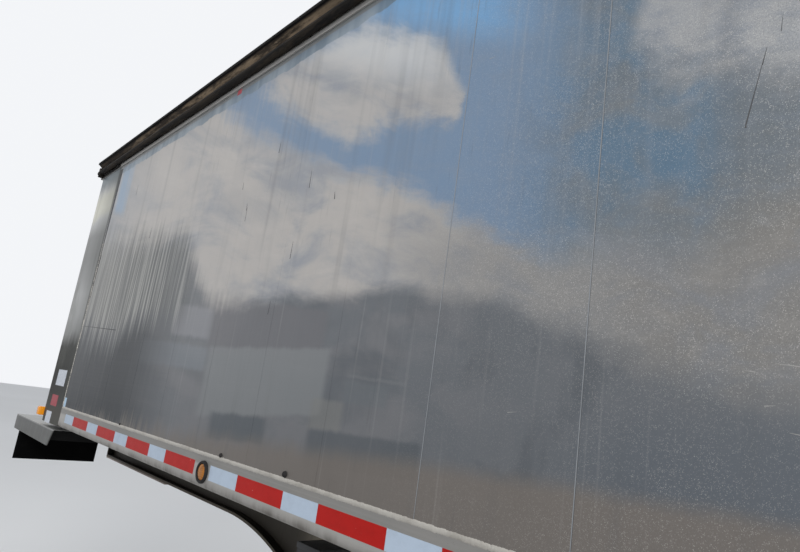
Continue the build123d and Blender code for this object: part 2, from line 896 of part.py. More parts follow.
for axle_x, place_name in ((axle_front_x, "front"), (axle_rear_x, "rear")):
    with BuildPart() as axle:
        tube_end = drum_inner_y + axle_tube_reach
        shaft(axle_x, axle_z, axle_beam_radius, (-tube_end, tube_end))
        spindle_end = dual_center_y + spindle_reach
        shaft(axle_x, axle_z, spindle_radius, (-spindle_end, spindle_end))
        for side in (-1, 1):
            seat_y = side * beam_center_y
            block(
                (axle_x - seat_half_length, axle_x + seat_half_length),
                (seat_y - spring_width / 2, seat_y + spring_width / 2),
                (axle_z, spring_seat_z),
            )
            plate_ends = sorted((side * (drum_inner_y - backing_plate), side * drum_inner_y))
            shaft(axle_x, axle_z, drum_radius - drum_wall, plate_ends)
            for fork_side in (-1, 1):
                fork_y = seat_y + fork_side * (rod_width + fork_plate) / 2
                fork_ends = (fork_y - fork_plate / 2, fork_y + fork_plate / 2)
                block(
                    (axle_x, axle_x + fork_reach),
                    fork_ends,
                    (rod_axle_z - fork_half_height, rod_axle_z + fork_half_height),
                )
                pin_x = axle_x + rod_axle_reach
                shaft(pin_x, rod_axle_z, rod_pin_radius + pin_gap, fork_ends, Mode.SUBTRACT)
            clamp_low_z = axle_z - axle_beam_radius - clamp_plate + clamp_bite
            for plate_z in (clamp_low_z, clamp_top_z):
                block(
                    (axle_x - clamp_half_length, axle_x + clamp_half_length),
                    (seat_y - clamp_half_width, seat_y + clamp_half_width),
                    (plate_z, plate_z + clamp_plate),
                )
            bolt_low_z = clamp_low_z - bolt_reach
            bolt_high_z = clamp_top_z + clamp_plate + bolt_reach
            with BuildSketch(Plane.XY.offset(bolt_low_z)):
                with Locations((axle_x, seat_y)):
                    with GridLocations(2 * u_bolt_reach, 2 * u_bolt_spread, 2, 2):
                        Circle(u_bolt_radius)
            extrude(amount=bolt_high_z - bolt_low_z)
    save(axle, f"axle_{place_name}")

with BuildPart() as brake_chambers:
    for axle_x in (axle_front_x, axle_rear_x):
        for side in (-1, 1):
            chamber_x = axle_x - chamber_setback
            ends = sorted((side * chamber_inner_y, side * (chamber_inner_y + chamber_length)))
            shaft(chamber_x, axle_z + chamber_rise, chamber_radius, ends)
            arm_start = chamber_inner_y + chamber_arm_inset
            ends = sorted((side * arm_start, side * (arm_start + chamber_arm)))
            arm_heights = (axle_z + chamber_arm_low, axle_z + chamber_arm_high)
            block((chamber_x, axle_x), ends, arm_heights)
            shaft(axle_x, axle_z, axle_beam_radius + seat_gap, ends, Mode.SUBTRACT)
save(brake_chambers, "brake_chambers")


# Wheels: two tyres on two dished rims, back to back on one hub and brake drum


def tyre_section(center_y):
    """Half of a tyre's cross section, as places across and radii."""
    shoulder = tyre_half_width * tyre_shoulder_share
    flange_top = bead_radius + rim_flange_height + flange_gap
    widest = bead_radius + (tyre_radius - bead_radius) * tyre_wall_share
    side = [
        (bead_half_width, bead_radius),
        (bead_half_width, flange_top),
        (tyre_half_width, widest),
        (tyre_half_width * tyre_edge_share, tyre_radius - tyre_edge_drop),
        (shoulder, tyre_radius),
    ]
    points = [(center_y + y, axle_z + r) for y, r in side]
    points += [(center_y - y, axle_z + r) for y, r in reversed(side)]
    return points


def rim_section(side):
    """Cross section of one dished rim; side is 1 for the outer rim, -1 for the inner."""
    center = dual_spacing / 2
    flange_out = center + bead_half_width + seat_gap + rim_flange_width
    flange_in = center - bead_half_width - seat_gap - rim_flange_width
    seat = bead_radius - seat_gap
    barrel = seat - rim_wall
    lip = bead_radius + rim_flange_height
    dish = [
        (flange_out, lip),
        (flange_out - rim_flange_width, lip),
        (flange_out - rim_flange_width, seat),
        (flange_in + rim_flange_width, seat),
        (flange_in + rim_flange_width, lip),
        (flange_in, lip),
        (flange_in, barrel),
        (disc_dish, barrel),
        (0, disc_flat_radius),
        (0, disc_bore),
        (disc_thickness, disc_bore),
        (disc_thickness, disc_flat_radius),
        (disc_dish + disc_thickness, barrel),
        (flange_out, barrel),
    ]
    return [(dual_center_y + side * y, axle_z + r) for y, r in dish]


def wheel_pieces(axle_x, place_name, side_name):
    """Tyres and wheel of one end of an axle; the right side is the left one mirrored."""
    spin = Axis((axle_x, 0, axle_z), (0, 1, 0))
    with BuildPart() as tyres:
        for center_y in (dual_center_y - dual_spacing / 2, dual_center_y + dual_spacing / 2):
            with BuildSketch(Plane.YZ.offset(axle_x)):
                with BuildLine():
                    Polyline(*tyre_section(center_y), close=True)
                make_face()
            revolve(axis=spin)
    with BuildPart() as wheel:
        for side in (1, -1):
            with BuildSketch(Plane.YZ.offset(axle_x)):
                with BuildLine():
                    Polyline(*rim_section(side), close=True)
                make_face()
            revolve(axis=spin)
        hole_reach = disc_dish + 2 * disc_thickness
        with BuildSketch(Plane.XZ.offset(-(dual_center_y - hole_reach))):
            with Locations((axle_x, axle_z)):
                with PolarLocations(hand_hole_place, hand_hole_count, start_angle=90):
                    Circle(hand_hole_radius)
        extrude(amount=-2 * hole_reach, mode=Mode.SUBTRACT)
        drum_outer_y = dual_center_y - drum_setback
        hub_ends = (drum_outer_y - drum_web, dual_center_y + hub_flange_reach)
        shaft(axle_x, axle_z, hub_radius, hub_ends)
        shaft(axle_x, axle_z, hub_cap_radius, (dual_center_y, dual_center_y + hub_reach))
        shaft(axle_x, axle_z, drum_radius, (drum_inner_y + drum_gap, drum_outer_y))
        shaft(
            axle_x,
            axle_z,
            drum_radius - drum_wall,
            (drum_inner_y + drum_gap, drum_outer_y - drum_web),
            Mode.SUBTRACT,
        )
        shaft(
            axle_x,
            axle_z,
            spindle_radius + pin_gap,
            (drum_inner_y, dual_center_y + spindle_reach + pin_gap),
            Mode.SUBTRACT,
        )
    if side_name == "right":
        with BuildPart() as right_tyres:
            add(tyres.part.mirror(Plane.XZ))
        with BuildPart() as right_wheel:
            add(wheel.part.mirror(Plane.XZ))
        tyres = right_tyres
        wheel = right_wheel
    save(tyres, f"tyres_{place_name}_{side_name}")
    save(wheel, f"wheel_{place_name}_{side_name}")


for axle_x, place_name in ((axle_front_x, "front"), (axle_rear_x, "rear")):
    for side_name in ("left", "right"):
        wheel_pieces(axle_x, place_name, side_name)

# Air tanks between the beams, each hung from a crossmember by its saddle
tank_place = cross_places[tank_cross_index]
tank_z = cross_top_z - cross_height - tank_radius - tank_gap

with BuildPart() as air_tanks:
    for tank_y in (-tank_center_y, tank_center_y):
        with BuildSketch(Plane.YZ.offset(tank_place - tank_length / 2)):
            with Locations((tank_y, tank_z)):
                Circle(tank_radius)
        extrude(amount=tank_length)
        block(
            (tank_place - tank_saddle_half_length, tank_place + tank_saddle_half_length),
            (tank_y - tank_saddle_half_width, tank_y + tank_saddle_half_width),
            (tank_z + tank_radius - tank_saddle_bite, cross_top_z - cross_height),
        )
save(air_tanks, "air_tanks")

# Rear hinge: blocks at the beams' ends carry the pins, the bed's ears turn on them
pin_reach = hinge_ear_gap + hinge_ear_plate + hinge_ear_gap

with BuildPart() as hinge_blocks:
    block_low_z = frame_top_z - rear_end_depth
    with BuildSketch(Plane.XZ.offset(-beam_inner_y)):
        with Locations((hinge_x, hinge_z)):
            Circle(hinge_block_radius)
        with BuildLine():
            Polyline(
                (beam_rear_x, frame_top_z),
                (beam_rear_x, block_low_z),
                (hinge_x, hinge_z - hinge_block_radius),
                (hinge_x, hinge_z + hinge_block_radius),
                close=True,
            )
        make_face()
    extrude(amount=-beam_flange_width)
    shaft(hinge_x, hinge_z, hinge_pin_radius, (beam_inner_y - pin_reach, beam_outer_y + pin_reach))
    for cap_y in (beam_inner_y - pin_reach, beam_outer_y + pin_reach - hinge_pin_cap):
        shaft(hinge_x, hinge_z, hinge_pin_cap_radius, (cap_y, cap_y + hinge_pin_cap))
    mirror(about=Plane.XZ)
save(hinge_blocks, "hinge_blocks")

with BuildPart() as hinge_ears:
    ear_places = (
        beam_inner_y - hinge_ear_gap - hinge_ear_plate,
        beam_outer_y + hinge_ear_gap,
    )
    toe_run = hinge_block_radius * hinge_ear_toe_share
    toe_fall = hinge_block_radius * hinge_ear_fall_share
    for ear_y in ear_places:
        with BuildSketch(Plane.XZ.offset(-ear_y)):
            with Locations((hinge_x, hinge_z)):
                Circle(hinge_block_radius)
            with BuildLine():
                Polyline(
                    (hinge_x - hinge_block_radius, hinge_z),
                    (hinge_x - hinge_block_radius, sill_bottom_z),
                    (hinge_x + hinge_ear_length, sill_bottom_z),
                    (hinge_x + toe_run, hinge_z - toe_fall),
                    close=True,
                )
            make_face()
        extrude(amount=-hinge_ear_plate)
        shaft(
            hinge_x,
            hinge_z,
            hinge_pin_radius + pin_gap,
            (ear_y, ear_y + hinge_ear_plate),
            Mode.SUBTRACT,
        )
    block(
        (hinge_x - hinge_block_radius, hinge_x + hinge_ear_length),
        (ear_places[0], ear_places[1] + hinge_ear_plate),
        (sill_bottom_z, sill_bottom_z + sill_pad),
    )
    mirror(about=Plane.XZ)
save(hinge_ears, "hinge_ears")

# Rear guard with its struts, and the light bar above it
guard_rear_x = hinge_x - guard_setback
guard_front_x = guard_rear_x + guard_bar_depth
guard_outer_y = beam_center_y + guard_strut / 2

with BuildPart() as rear_guard:
    block(
        (guard_rear_x, guard_front_x),
        (guard_end_inset - half_width, half_width - guard_end_inset),
        (guard_bottom_z, guard_bottom_z + guard_bar_height),
    )
    strut_top = frame_top_z - rear_end_depth
    for side in (-1, 1):
        ends = sorted((side * (beam_center_y - guard_strut / 2), side * guard_outer_y))
        side_plate(
            [
                (guard_rear_x, guard_bottom_z + guard_bar_height),
                (guard_front_x, guard_bottom_z + guard_bar_height),
                (beam_rear_x + guard_strut, strut_top - guard_strut * rear_rise_slope),
                (beam_rear_x, strut_top),
            ],
            ends,
        )
save(rear_guard, "rear_guard")

# Bed floor, crossmembers and sills
bed_inner_front_x = bed_front_x - wall_thickness

with BuildPart() as bed_floor:
    block(
        (bed_rear_x, bed_inner_front_x),
        (-rail_inner_y, rail_inner_y),
        (floor_bottom_z, floor_top_z),
    )
save(bed_floor, "bed_floor")

bed_cross_count = int((bed_length - bed_cross_front_gap - rear_post_depth) // bed_cross_pitch)

with BuildPart() as bed_crossmembers:
    for index in range(bed_cross_count + 1):
        front = bed_front_x - bed_cross_front_gap - index * bed_cross_pitch
        rear = front - bed_cross_width
        across = (-rail_inner_y, rail_inner_y)
        middle = (front + rear) / 2
        web_half = bed_cross_plate / 2
        block((rear, front), across, (floor_bottom_z - bed_cross_plate, floor_bottom_z))
        block((rear, front), across, (rail_bottom_z, rail_bottom_z + bed_cross_plate))
        block((middle - web_half, middle + web_half), across, (rail_bottom_z, floor_bottom_z))
save(bed_crossmembers, "bed_crossmembers")

with BuildPart() as bed_sills:
    block(
        (bed_rear_x, bed_front_x - sill_front_gap),
        (beam_center_y - sill_width / 2, beam_center_y + sill_width / 2),
        (sill_bottom_z + sill_pad, rail_bottom_z),
    )
    mirror(about=Plane.XZ)
save(bed_sills, "bed_sills")


def rail_section():
    """Hollow bottom rail with its lower outer corner rounded, left side."""
    middle = ((rail_inner_y + half_width) / 2, (rail_bottom_z + rail_top_z) / 2)
    with BuildSketch(Plane.YZ.offset(bed_rear_x)) as section:
        with BuildLine():
            Line((rail_inner_y, rail_bottom_z), (half_width - rail_round, rail_bottom_z))
            JernArc((half_width - rail_round, rail_bottom_z), (1, 0), rail_round, 90)
            Line((half_width, rail_bottom_z + rail_round), (half_width, rail_top_z))
            Line((half_width, rail_top_z), (rail_inner_y, rail_top_z))
            Line((rail_inner_y, rail_top_z), (rail_inner_y, rail_bottom_z))
        make_face()
        with Locations(middle):
            Rectangle(rail_width - 2 * rail_wall, rail_height - 2 * rail_wall, mode=Mode.SUBTRACT)
    return section.sketch


with BuildPart() as bottom_rails:
    extrude(rail_section(), amount=bed_length - front_post_length)
    mirror(about=Plane.XZ)
save(bottom_rails, "bottom_rails")

# Side walls between the corner posts
wall_front_x = bed_front_x - front_post_length
wall_rear_x = bed_rear_x + rear_post_depth

for side, side_name in ((1, "left"), (-1, "right")):
    ends = sorted((side * (half_width - wall_thickness), side * half_width))
    with BuildPart() as side_wall:
        block((wall_rear_x, wall_front_x), ends, (rail_top_z, wall_top_z))
    save(side_wall, f"side_wall_{side_name}")

# Front corner posts: wide plate on the side, rounded corner and a return on the front
with BuildPart() as front_posts:
    inner_y = half_width - wall_thickness
    with BuildSketch(Plane.XY.offset(rail_bottom_z)):
        with BuildLine():
            Polyline(
                (wall_front_x, half_width),
                (bed_front_x, half_width),
                (bed_front_x, half_width - front_post_return),
                (bed_inner_front_x, half_width - front_post_return),
                (bed_inner_front_x, inner_y),
                (wall_front_x, inner_y),
                close=True,
            )
        make_face()
    extrude(amount=rail_height + wall_height)
    block((wall_front_x, bed_inner_front_x), (rail_inner_y, inner_y), (rail_bottom_z, rail_top_z))
    corner = front_posts.edges().filter_by(Axis.Z).sort_by(Axis.X).group_by(Axis.X)[-1]
    fillet(corner.sort_by(Axis.Y)[-1], front_post_round)
    mirror(about=Plane.XZ)
save(front_posts, "front_posts")

with BuildPart() as front_bulkhead:
    across = half_width - front_post_return
    block((bed_inner_front_x, bed_front_x), (-across, across), (rail_bottom_z, wall_top_z))
    for rib_y in bulkhead_rib_places:
        for side in (-1, 1):
            ends = (side * rib_y - bulkhead_rib_width / 2, side * rib_y + bulkhead_rib_width / 2)
            block((bed_front_x, bed_front_x + bulkhead_rib_depth), ends, (rail_bottom_z, wall_top_z))
save(front_bulkhead, "front_bulkhead")

with BuildPart() as rear_posts:
    block(
        (bed_rear_x, bed_rear_x + rear_post_depth),
        (half_width - rear_post_width, half_width),
        (rail_top_z, wall_top_z),
    )
    lug_y = half_width - rear_post_width + 2 * arm_outer_gap + arm_width
    block(
        (gate_pin_x - lug_half_length, gate_pin_x + lug_half_length),
        (lug_y, lug_y + lug_thickness),
        (wall_top_z, gate_pin_z + lug_half_length),
    )
    shaft(gate_pin_x, gate_pin_z, gate_pin_radius, (lug_y - arm_width - 2 * arm_outer_gap, lug_y))
    mirror(about=Plane.XZ)
save(rear_posts, "rear_posts")

# Top rails with the outward lip under the tarp roll, and the eaves above it
with BuildPart() as top_rails:
    rail_in = half_width - top_rail_width
    block((bed_rear_x, bed_front_x), (rail_in, half_width), (wall_top_z, top_rail_top_z))
    block(
        (bed_rear_x, bed_front_x),
        (half_width, half_width + top_lip_out),
        (wall_top_z, wall_top_z + top_lip_height),
    )
    mirror(about=Plane.XZ)
save(top_rails, "top_rails")

with BuildPart() as tarp_eaves:
    with BuildSketch(Plane.YZ.offset(wall_rear_x)):
        with BuildLine():
            Polyline(
                (rail_in, top_rail_top_z),
                (half_width, top_rail_top_z),
                (half_width + eave_out, top_rail_top_z + eave_height),
                (half_width + eave_out, top_rail_top_z + eave_height + eave_thickness),
                (half_width, top_rail_top_z + eave_thickness * 2),
                (rail_in, top_rail_top_z + eave_thickness * 2),
                close=True,
            )
        make_face()
    extrude(amount=bed_length - rear_post_depth)
    mirror(about=Plane.XZ)
save(tarp_eaves, "tarp_eaves")

# Tarp roll tucked under the left eave, on the top rail's lip
tarp_rear_x = wall_rear_x
roll_y = half_width + roll_radius + seat_gap
roll_z = wall_top_z + top_lip_height + roll_radius

with BuildPart() as tarp_roll:
    with BuildSketch(Plane.YZ.offset(tarp_rear_x)):
        with Locations((roll_y, roll_z)):
            Circle(roll_radius)
    extrude(amount=bed_front_x - tarp_rear_x)
save(tarp_roll, "tarp_roll")

# Crank that turns the roll, hung along the left rear post in its clips
with BuildPart() as tarp_crank:
    crank_x = tarp_rear_x - crank_setback
    knuckle_half = crank_rod_radius + crank_knuckle_wall
    block(
        (crank_x - knuckle_half, tarp_rear_x),
        (roll_y - knuckle_half, roll_y + knuckle_half),
        (roll_z - knuckle_half, roll_z + knuckle_half),
    )
    with BuildSketch(Plane.XY.offset(crank_low_z)):
        with Locations((crank_x, roll_y)):
            Circle(crank_rod_radius)
    extrude(amount=roll_z - crank_low_z)
    block(
        (crank_x - knuckle_half, crank_x + crank_arm),
        (roll_y - crank_arm_plate / 2, roll_y + crank_arm_plate / 2),
        (crank_low_z, crank_low_z + crank_arm_height),
    )
    with BuildSketch(Plane.XY.offset(crank_low_z - crank_grip)):
        with Locations((crank_x + crank_arm - crank_arm_height, roll_y)):
            Circle(crank_grip_radius)
    extrude(amount=crank_grip + crank_arm_height)
    for clip_z in crank_clip_z:
        block(
            (crank_x - knuckle_half, crank_x + knuckle_half),
            (half_width, roll_y),
            (clip_z, clip_z + crank_clip_height),
        )
save(tarp_crank, "tarp_crank")

# Tarp: one arc from eave to eave. The bows and the end caps follow it from below
tarp_edge_z = (
    top_rail_top_z
    + 2 * eave_thickness
    + (eave_height - eave_thickness) * tarp_edge_out / eave_out
    + seat_gap
)
tarp_radius = (tarp_half**2 + bow_crown**2) / (2 * bow_crown)
tarp_axis_z = tarp_edge_z + bow_crown - tarp_radius
bow_base_z = top_rail_top_z + 2 * eave_thickness


def arc_height(radius, y):
    """Height of an arc about the tarp's axis, at a place across."""
    return tarp_axis_z + sqrt(radius**2 - y**2)


with BuildPart() as tarp_bows:
    bow_first = bed_rear_x + bow_rear_setback
    bow_last = bed_front_x - bow_front_setback
    bow_half = rail_in + bow_end_inset
    bow_over = tarp_radius - seat_gap
    bow_under = bow_over - bow_depth
    for index in range(bow_count):
        bow_x = bow_first + (bow_last - bow_first) * index / (bow_count - 1)
        with BuildSketch(Plane.YZ.offset(bow_x - bow_width / 2)):
            with BuildLine():
                under = ThreePointArc(
                    (-bow_half, arc_height(bow_under, bow_half)),
                    (0, arc_height(bow_under, 0)),
                    (bow_half, arc_height(bow_under, bow_half)),
                )
                Line(under @ 1, (bow_half, arc_height(bow_over, bow_half)))
                over = ThreePointArc(
                    (bow_half, arc_height(bow_over, bow_half)),
                    (0, arc_height(bow_over, 0)),
                    (-bow_half, arc_height(bow_over, bow_half)),
                )
                Line(over @ 1, under @ 0)
            make_face()
        extrude(amount=bow_width)
    block(
        (bed_rear_x, bed_front_x),
        (-bed_width, bed_width),
        (bow_base_z - 4 * bow_depth, bow_base_z),
        Mode.SUBTRACT,
    )
save(tarp_bows, "tarp_bows")

with BuildPart() as tarp_cover:
    with BuildSketch(Plane.YZ.offset(tarp_rear_x)):
        with BuildLine():
            under = ThreePointArc(
                (-tarp_half, tarp_edge_z),
                (0, arc_height(tarp_radius, 0)),
                (tarp_half, tarp_edge_z),
            )
            Line(under @ 1, (tarp_half, tarp_edge_z + tarp_thickness))
            over = ThreePointArc(
                (tarp_half, tarp_edge_z + tarp_thickness),
                (0, arc_height(tarp_radius, 0) + tarp_thickness),
                (-tarp_half, tarp_edge_z + tarp_thickness),
            )
            Line(over @ 1, under @ 0)
        make_face()
    extrude(amount=bed_front_x - tarp_rear_x)
save(tarp_cover, "tarp_cover")

with BuildPart() as tarp_caps:
    cap_arc = tarp_radius - seat_gap
    for cap_x, cap_low in ((tarp_rear_x, bow_base_z), (bed_front_x - cap_plate, bow_base_z)):
        with BuildSketch(Plane.YZ.offset(cap_x)):
            with BuildLine():
                crown = ThreePointArc(
                    (-half_width, arc_height(cap_arc, half_width)),
                    (0, arc_height(cap_arc, 0)),
                    (half_width, arc_height(cap_arc, half_width)),
                )
                Line(crown @ 1, (half_width, cap_low))
                Line((half_width, cap_low), (-half_width, cap_low))
                Line((-half_width, cap_low), crown @ 0)
            make_face()
        extrude(amount=cap_plate)
    block(
        (bed_front_x - cap_plate, bed_front_x),
        (-rail_in, rail_in),
        (wall_top_z, bow_base_z),
    )
save(tarp_caps, "tarp_caps")

# Bracket on the bulkhead for the hoist's eye, open between its ears
with BuildPart() as hoist_bracket:
    inner = hoist_eye_width / 2 + bracket_gap
    for side in (-1, 1):
        ends = sorted((side * inner, side * (inner + bracket_plate)))
        with BuildSketch(Plane.XZ.offset(-ends[0])):
            with Locations((hoist_x, hoist_upper_z)):
                Circle(bracket_ear_radius)
            with BuildLine():
                Polyline(
                    (bed_front_x + bracket_back, hoist_upper_z + bracket_rise),
                    (hoist_x, hoist_upper_z + bracket_ear_radius),
                    (hoist_x, hoist_upper_z - bracket_ear_radius),
                    (bed_front_x + bracket_back, hoist_upper_z - bracket_fall),
                    close=True,
                )
            make_face()
        extrude(amount=ends[0] - ends[1])
        outer = inner + bracket_plate
        hub_ends = sorted((side * outer, side * (outer + bracket_hub_width)))
        shaft(hoist_x, hoist_upper_z, bracket_hub_radius, hub_ends)
    block(
        (bed_front_x, bed_front_x + bracket_back),
        (-bracket_back_half, bracket_back_half),
        (hoist_upper_z - bracket_back_fall, hoist_upper_z + bracket_back_rise),
    )
save(hoist_bracket, "hoist_bracket")

# Tailgate: panel with ribs behind it, hung from two arms
with BuildPart() as tailgate:
    block((gate_rear_x, gate_front_x), (-half_width, half_width), (gate_bottom_z, gate_top_z))
    for rib in range(gate_rib_count):
        low = gate_bottom_z + rib * (gate_top_z - gate_bottom_z - gate_rib_height) / (gate_rib_count - 1)
        ends = (low, low + gate_rib_height)
        block((gate_rear_x - gate_rib_depth, gate_rear_x), (-half_width, half_width), ends)
    for side in (-1, 1):
        ends = sorted((side * (half_width - gate_rib_height), side * half_width))
        block((gate_rear_x - gate_rib_depth, gate_rear_x), ends, (gate_bottom_z, gate_top_z))
save(tailgate, "tailgate")

with BuildPart() as tailgate_arms:
    arm_y = lug_y - arm_outer_gap - arm_width
    with BuildSketch(Plane.XZ.offset(-arm_y)):
        with Locations((gate_pin_x, gate_pin_z)):
            Circle(arm_radius)
        with BuildLine():
            Polyline(
                (gate_pin_x, gate_pin_z + arm_radius),
                (gate_pin_x - arm_radius, gate_pin_z),
                (gate_rear_x, gate_top_z + arm_toe),
                (gate_rear_x, gate_top_z),
                (gate_front_x, gate_top_z),
                (gate_front_x, wall_top_z + arm_heel),
                (gate_pin_x, gate_pin_z - arm_radius),
                close=True,
            )
        make_face()
    extrude(amount=-arm_width)
    shaft(gate_pin_x, gate_pin_z, gate_pin_radius + pin_gap, (arm_y, arm_y + arm_width), Mode.SUBTRACT)
    mirror(about=Plane.XZ)
save(tailgate_arms, "tailgate_arms")

# Rear lamps on their plates
with BuildPart() as rear_lights:
    for side in (-1, 1):
        ends = sorted((side * guard_outer_y, side * (half_width - light_bar_end_inset)))
        plate_x = hinge_x + light_bar_ahead
        block(
            (plate_x, plate_x + light_bar_plate),
            ends,
            (light_bar_z, light_bar_z + light_bar_height),
        )
        for lamp_y in light_places:
            with BuildSketch(Plane.YZ.offset(plate_x)):
                with Locations((side * lamp_y, light_bar_z + light_bar_height / 2)):
                    Circle(lamp_radius)
            extrude(amount=-lamp_depth)
save(rear_lights, "rear_lights")

# Mud flaps behind the rear tyres, each on a bar from its beam
rear_flap_x = axle_rear_x - tyre_radius - rear_flap_setback
flap_bar_z = frame_top_z - rear_end_depth

with BuildPart() as flap_bars:
    block(
        (rear_flap_x - flap_bar / 2, rear_flap_x + flap_bar / 2),
        (web_outer_y, half_width - flap_bar_end_inset),
        (flap_bar_z, flap_bar_z + flap_bar),
    )
    mirror(about=Plane.XZ)
save(flap_bars, "flap_bars")

with BuildPart() as rear_flaps:
    block(
        (rear_flap_x - flap_thickness / 2, rear_flap_x + flap_thickness / 2),
        (drum_inner_y, half_width - rear_flap_end_inset),
        (rear_flap_low_z, flap_bar_z),
    )
    mirror(about=Plane.XZ)
save(rear_flaps, "rear_flaps")

# Air and light couplings on a stand at the front of the deck
with BuildPart() as air_couplings:
    stand_rear_x = deck_front_x - stand_setback
    stand_front_x = stand_rear_x + stand_plate
    coupling_z = deck_top_z + coupling_rise
    block(
        (stand_rear_x, stand_front_x),
        (stand_inner_y, stand_outer_y),
        (deck_top_z, deck_top_z + stand_height),
    )
    for coupling_y, radius in (
        (socket_y - air_coupling_spread, air_coupling_radius),
        (socket_y, socket_radius),
        (socket_y + air_coupling_spread, air_coupling_radius),
    ):
        with BuildSketch(Plane.YZ.offset(stand_front_x)):
            with Locations((coupling_y, coupling_z)):
                Circle(radius)
        extrude(amount=coupling_length)
    with BuildSketch(Plane.YZ.offset(stand_front_x + coupling_length)):
        with Locations((socket_y, coupling_z)):
            Circle(socket_bore)
    extrude(amount=-socket_depth, mode=Mode.SUBTRACT)
save(air_couplings, "air_couplings")

# Lamps in the bottom rails and on the front posts, both sides
with BuildPart() as side_lamps:
    for lamp_x in rail_lamp_places:
        shaft(lamp_x, rail_lamp_z, rail_lamp_radius, (half_width, half_width + rail_lamp_out))
    block(
        (bed_front_x, bed_front_x + corner_lamp_depth),
        (half_width - corner_lamp_size - corner_lamp_inset, half_width - corner_lamp_inset),
        (rail_lamp_z - corner_lamp_size / 2, rail_lamp_z + corner_lamp_size / 2),
    )
    mirror(about=Plane.XZ)
save(side_lamps, "side_lamps")
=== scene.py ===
import bmesh
import bpy
from math import cos, pi, radians, sin, sqrt
from mathutils import Matrix, Vector, noise
from random import Random


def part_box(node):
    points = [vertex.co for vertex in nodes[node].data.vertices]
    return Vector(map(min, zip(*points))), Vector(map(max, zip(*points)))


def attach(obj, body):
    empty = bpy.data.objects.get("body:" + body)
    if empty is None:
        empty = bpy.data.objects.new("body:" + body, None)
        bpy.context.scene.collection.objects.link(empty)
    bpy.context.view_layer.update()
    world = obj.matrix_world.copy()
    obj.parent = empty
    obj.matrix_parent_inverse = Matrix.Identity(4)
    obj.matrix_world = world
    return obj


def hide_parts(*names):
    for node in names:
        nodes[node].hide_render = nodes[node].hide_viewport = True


# Looks of an end-dump semi trailer, in metres, in the model's own frame:
# +X forward, +Y to the trailer's left, +Z up, origin on the ground under the middle.

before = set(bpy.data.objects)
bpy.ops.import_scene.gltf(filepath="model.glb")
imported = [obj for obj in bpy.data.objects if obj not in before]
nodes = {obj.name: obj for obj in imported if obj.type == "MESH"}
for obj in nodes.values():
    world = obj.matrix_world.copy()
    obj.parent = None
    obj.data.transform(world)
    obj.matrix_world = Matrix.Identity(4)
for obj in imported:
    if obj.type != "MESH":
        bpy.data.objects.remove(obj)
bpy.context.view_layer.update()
scene = bpy.context.scene

# Places taken from the model: the bed's left wall with its rails, posts and eave, and the deck
wall_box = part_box("side_wall_left")
rail_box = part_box("bottom_rails")
post_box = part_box("front_posts")
top_rail_low, top_rail_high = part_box("top_rails")
eave_low, eave_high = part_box("tarp_eaves")
deck_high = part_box("front_deck")[1]
side_y = post_box[1].y
rail_top_z = rail_box[1].z
wall_top_z = wall_box[1].z
wall_front_x = wall_box[1].x
wall_rear_x = wall_box[0].x
bed_front_x = post_box[1].x
bed_rear_x = rail_box[0].x

# Wheels, and the main beams between them
sides = ("left", "right")
axles = ("front", "rear")
tyre_boxes = [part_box(f"tyres_{axle}_left") for axle in axles]
axle_places = [(low.x + high.x) / 2 for low, high in tyre_boxes]
axle_height = (tyre_boxes[0][0].z + tyre_boxes[0][1].z) / 2
tyre_radius = (tyre_boxes[0][1].z - tyre_boxes[0][0].z) / 2
drum_radius, drum_outer_y = 0.208, 0.851
beam_y, web_half = 0.460, 0.007

# Thickness of tapes and stickers
SKIN = 0.0004


# Node trees, and shader maths written as expressions on wires


def set_stops(ramp, stops):
    """Stops of (place, colour), the only ones left in the ramp."""
    while len(ramp.elements) > 1:
        ramp.elements.remove(ramp.elements[-1])
    ramp.elements[0].position, ramp.elements[0].color = stops[0]
    for place, color in stops[1:]:
        ramp.elements.new(place).color = color


def add_node(tree, kind, settings, values):
    """A node of that kind: its settings first, then values for its sockets or outputs to link to them."""
    made = tree.nodes.new(kind)
    for key, value in settings.items():
        if key == "stops":
            set_stops(made.color_ramp, value)
        else:
            setattr(made, key, value)
    for key, value in values.items():
        if isinstance(value, bpy.types.NodeSocket):
            tree.links.new(value, made.inputs[key])
        else:
            made.inputs[key].default_value = value
    return made


class Wire:
    """One output socket of a finish; arithmetic on it adds Math nodes."""

    def __init__(self, finish, socket):
        self.finish = finish
        self.socket = socket

    def math(self, operation, first, second=0.0):
        return self.finish.math(operation, first, second)

    def __add__(self, other):
        return self.math("ADD", self, other)

    def __radd__(self, other):
        return self.math("ADD", other, self)

    def __sub__(self, other):
        return self.math("SUBTRACT", self, other)

    def __rsub__(self, other):
        return self.math("SUBTRACT", other, self)

    def __mul__(self, other):
        return self.math("MULTIPLY", self, other)

    def __rmul__(self, other):
        return self.math("MULTIPLY", other, self)

    def __truediv__(self, other):
        return self.math("DIVIDE", self, other)

    def __pow__(self, other):
        return self.math("POWER", self, other)

    def __abs__(self):
        return self.math("ABSOLUTE", self)

    def most(self, other):
        return self.math("MAXIMUM", self, other)

    def above(self, other):
        return self.math("GREATER_THAN", self, other)

    def soft(self, low, high):
        """0 below low, 1 above high, smooth between; where low is the larger it falls instead."""
        return self.finish.node(
            "ShaderNodeMapRange",
            {"interpolation_type": "SMOOTHSTEP"},
            {"Value": self, "From Min": low, "From Max": high},
        )


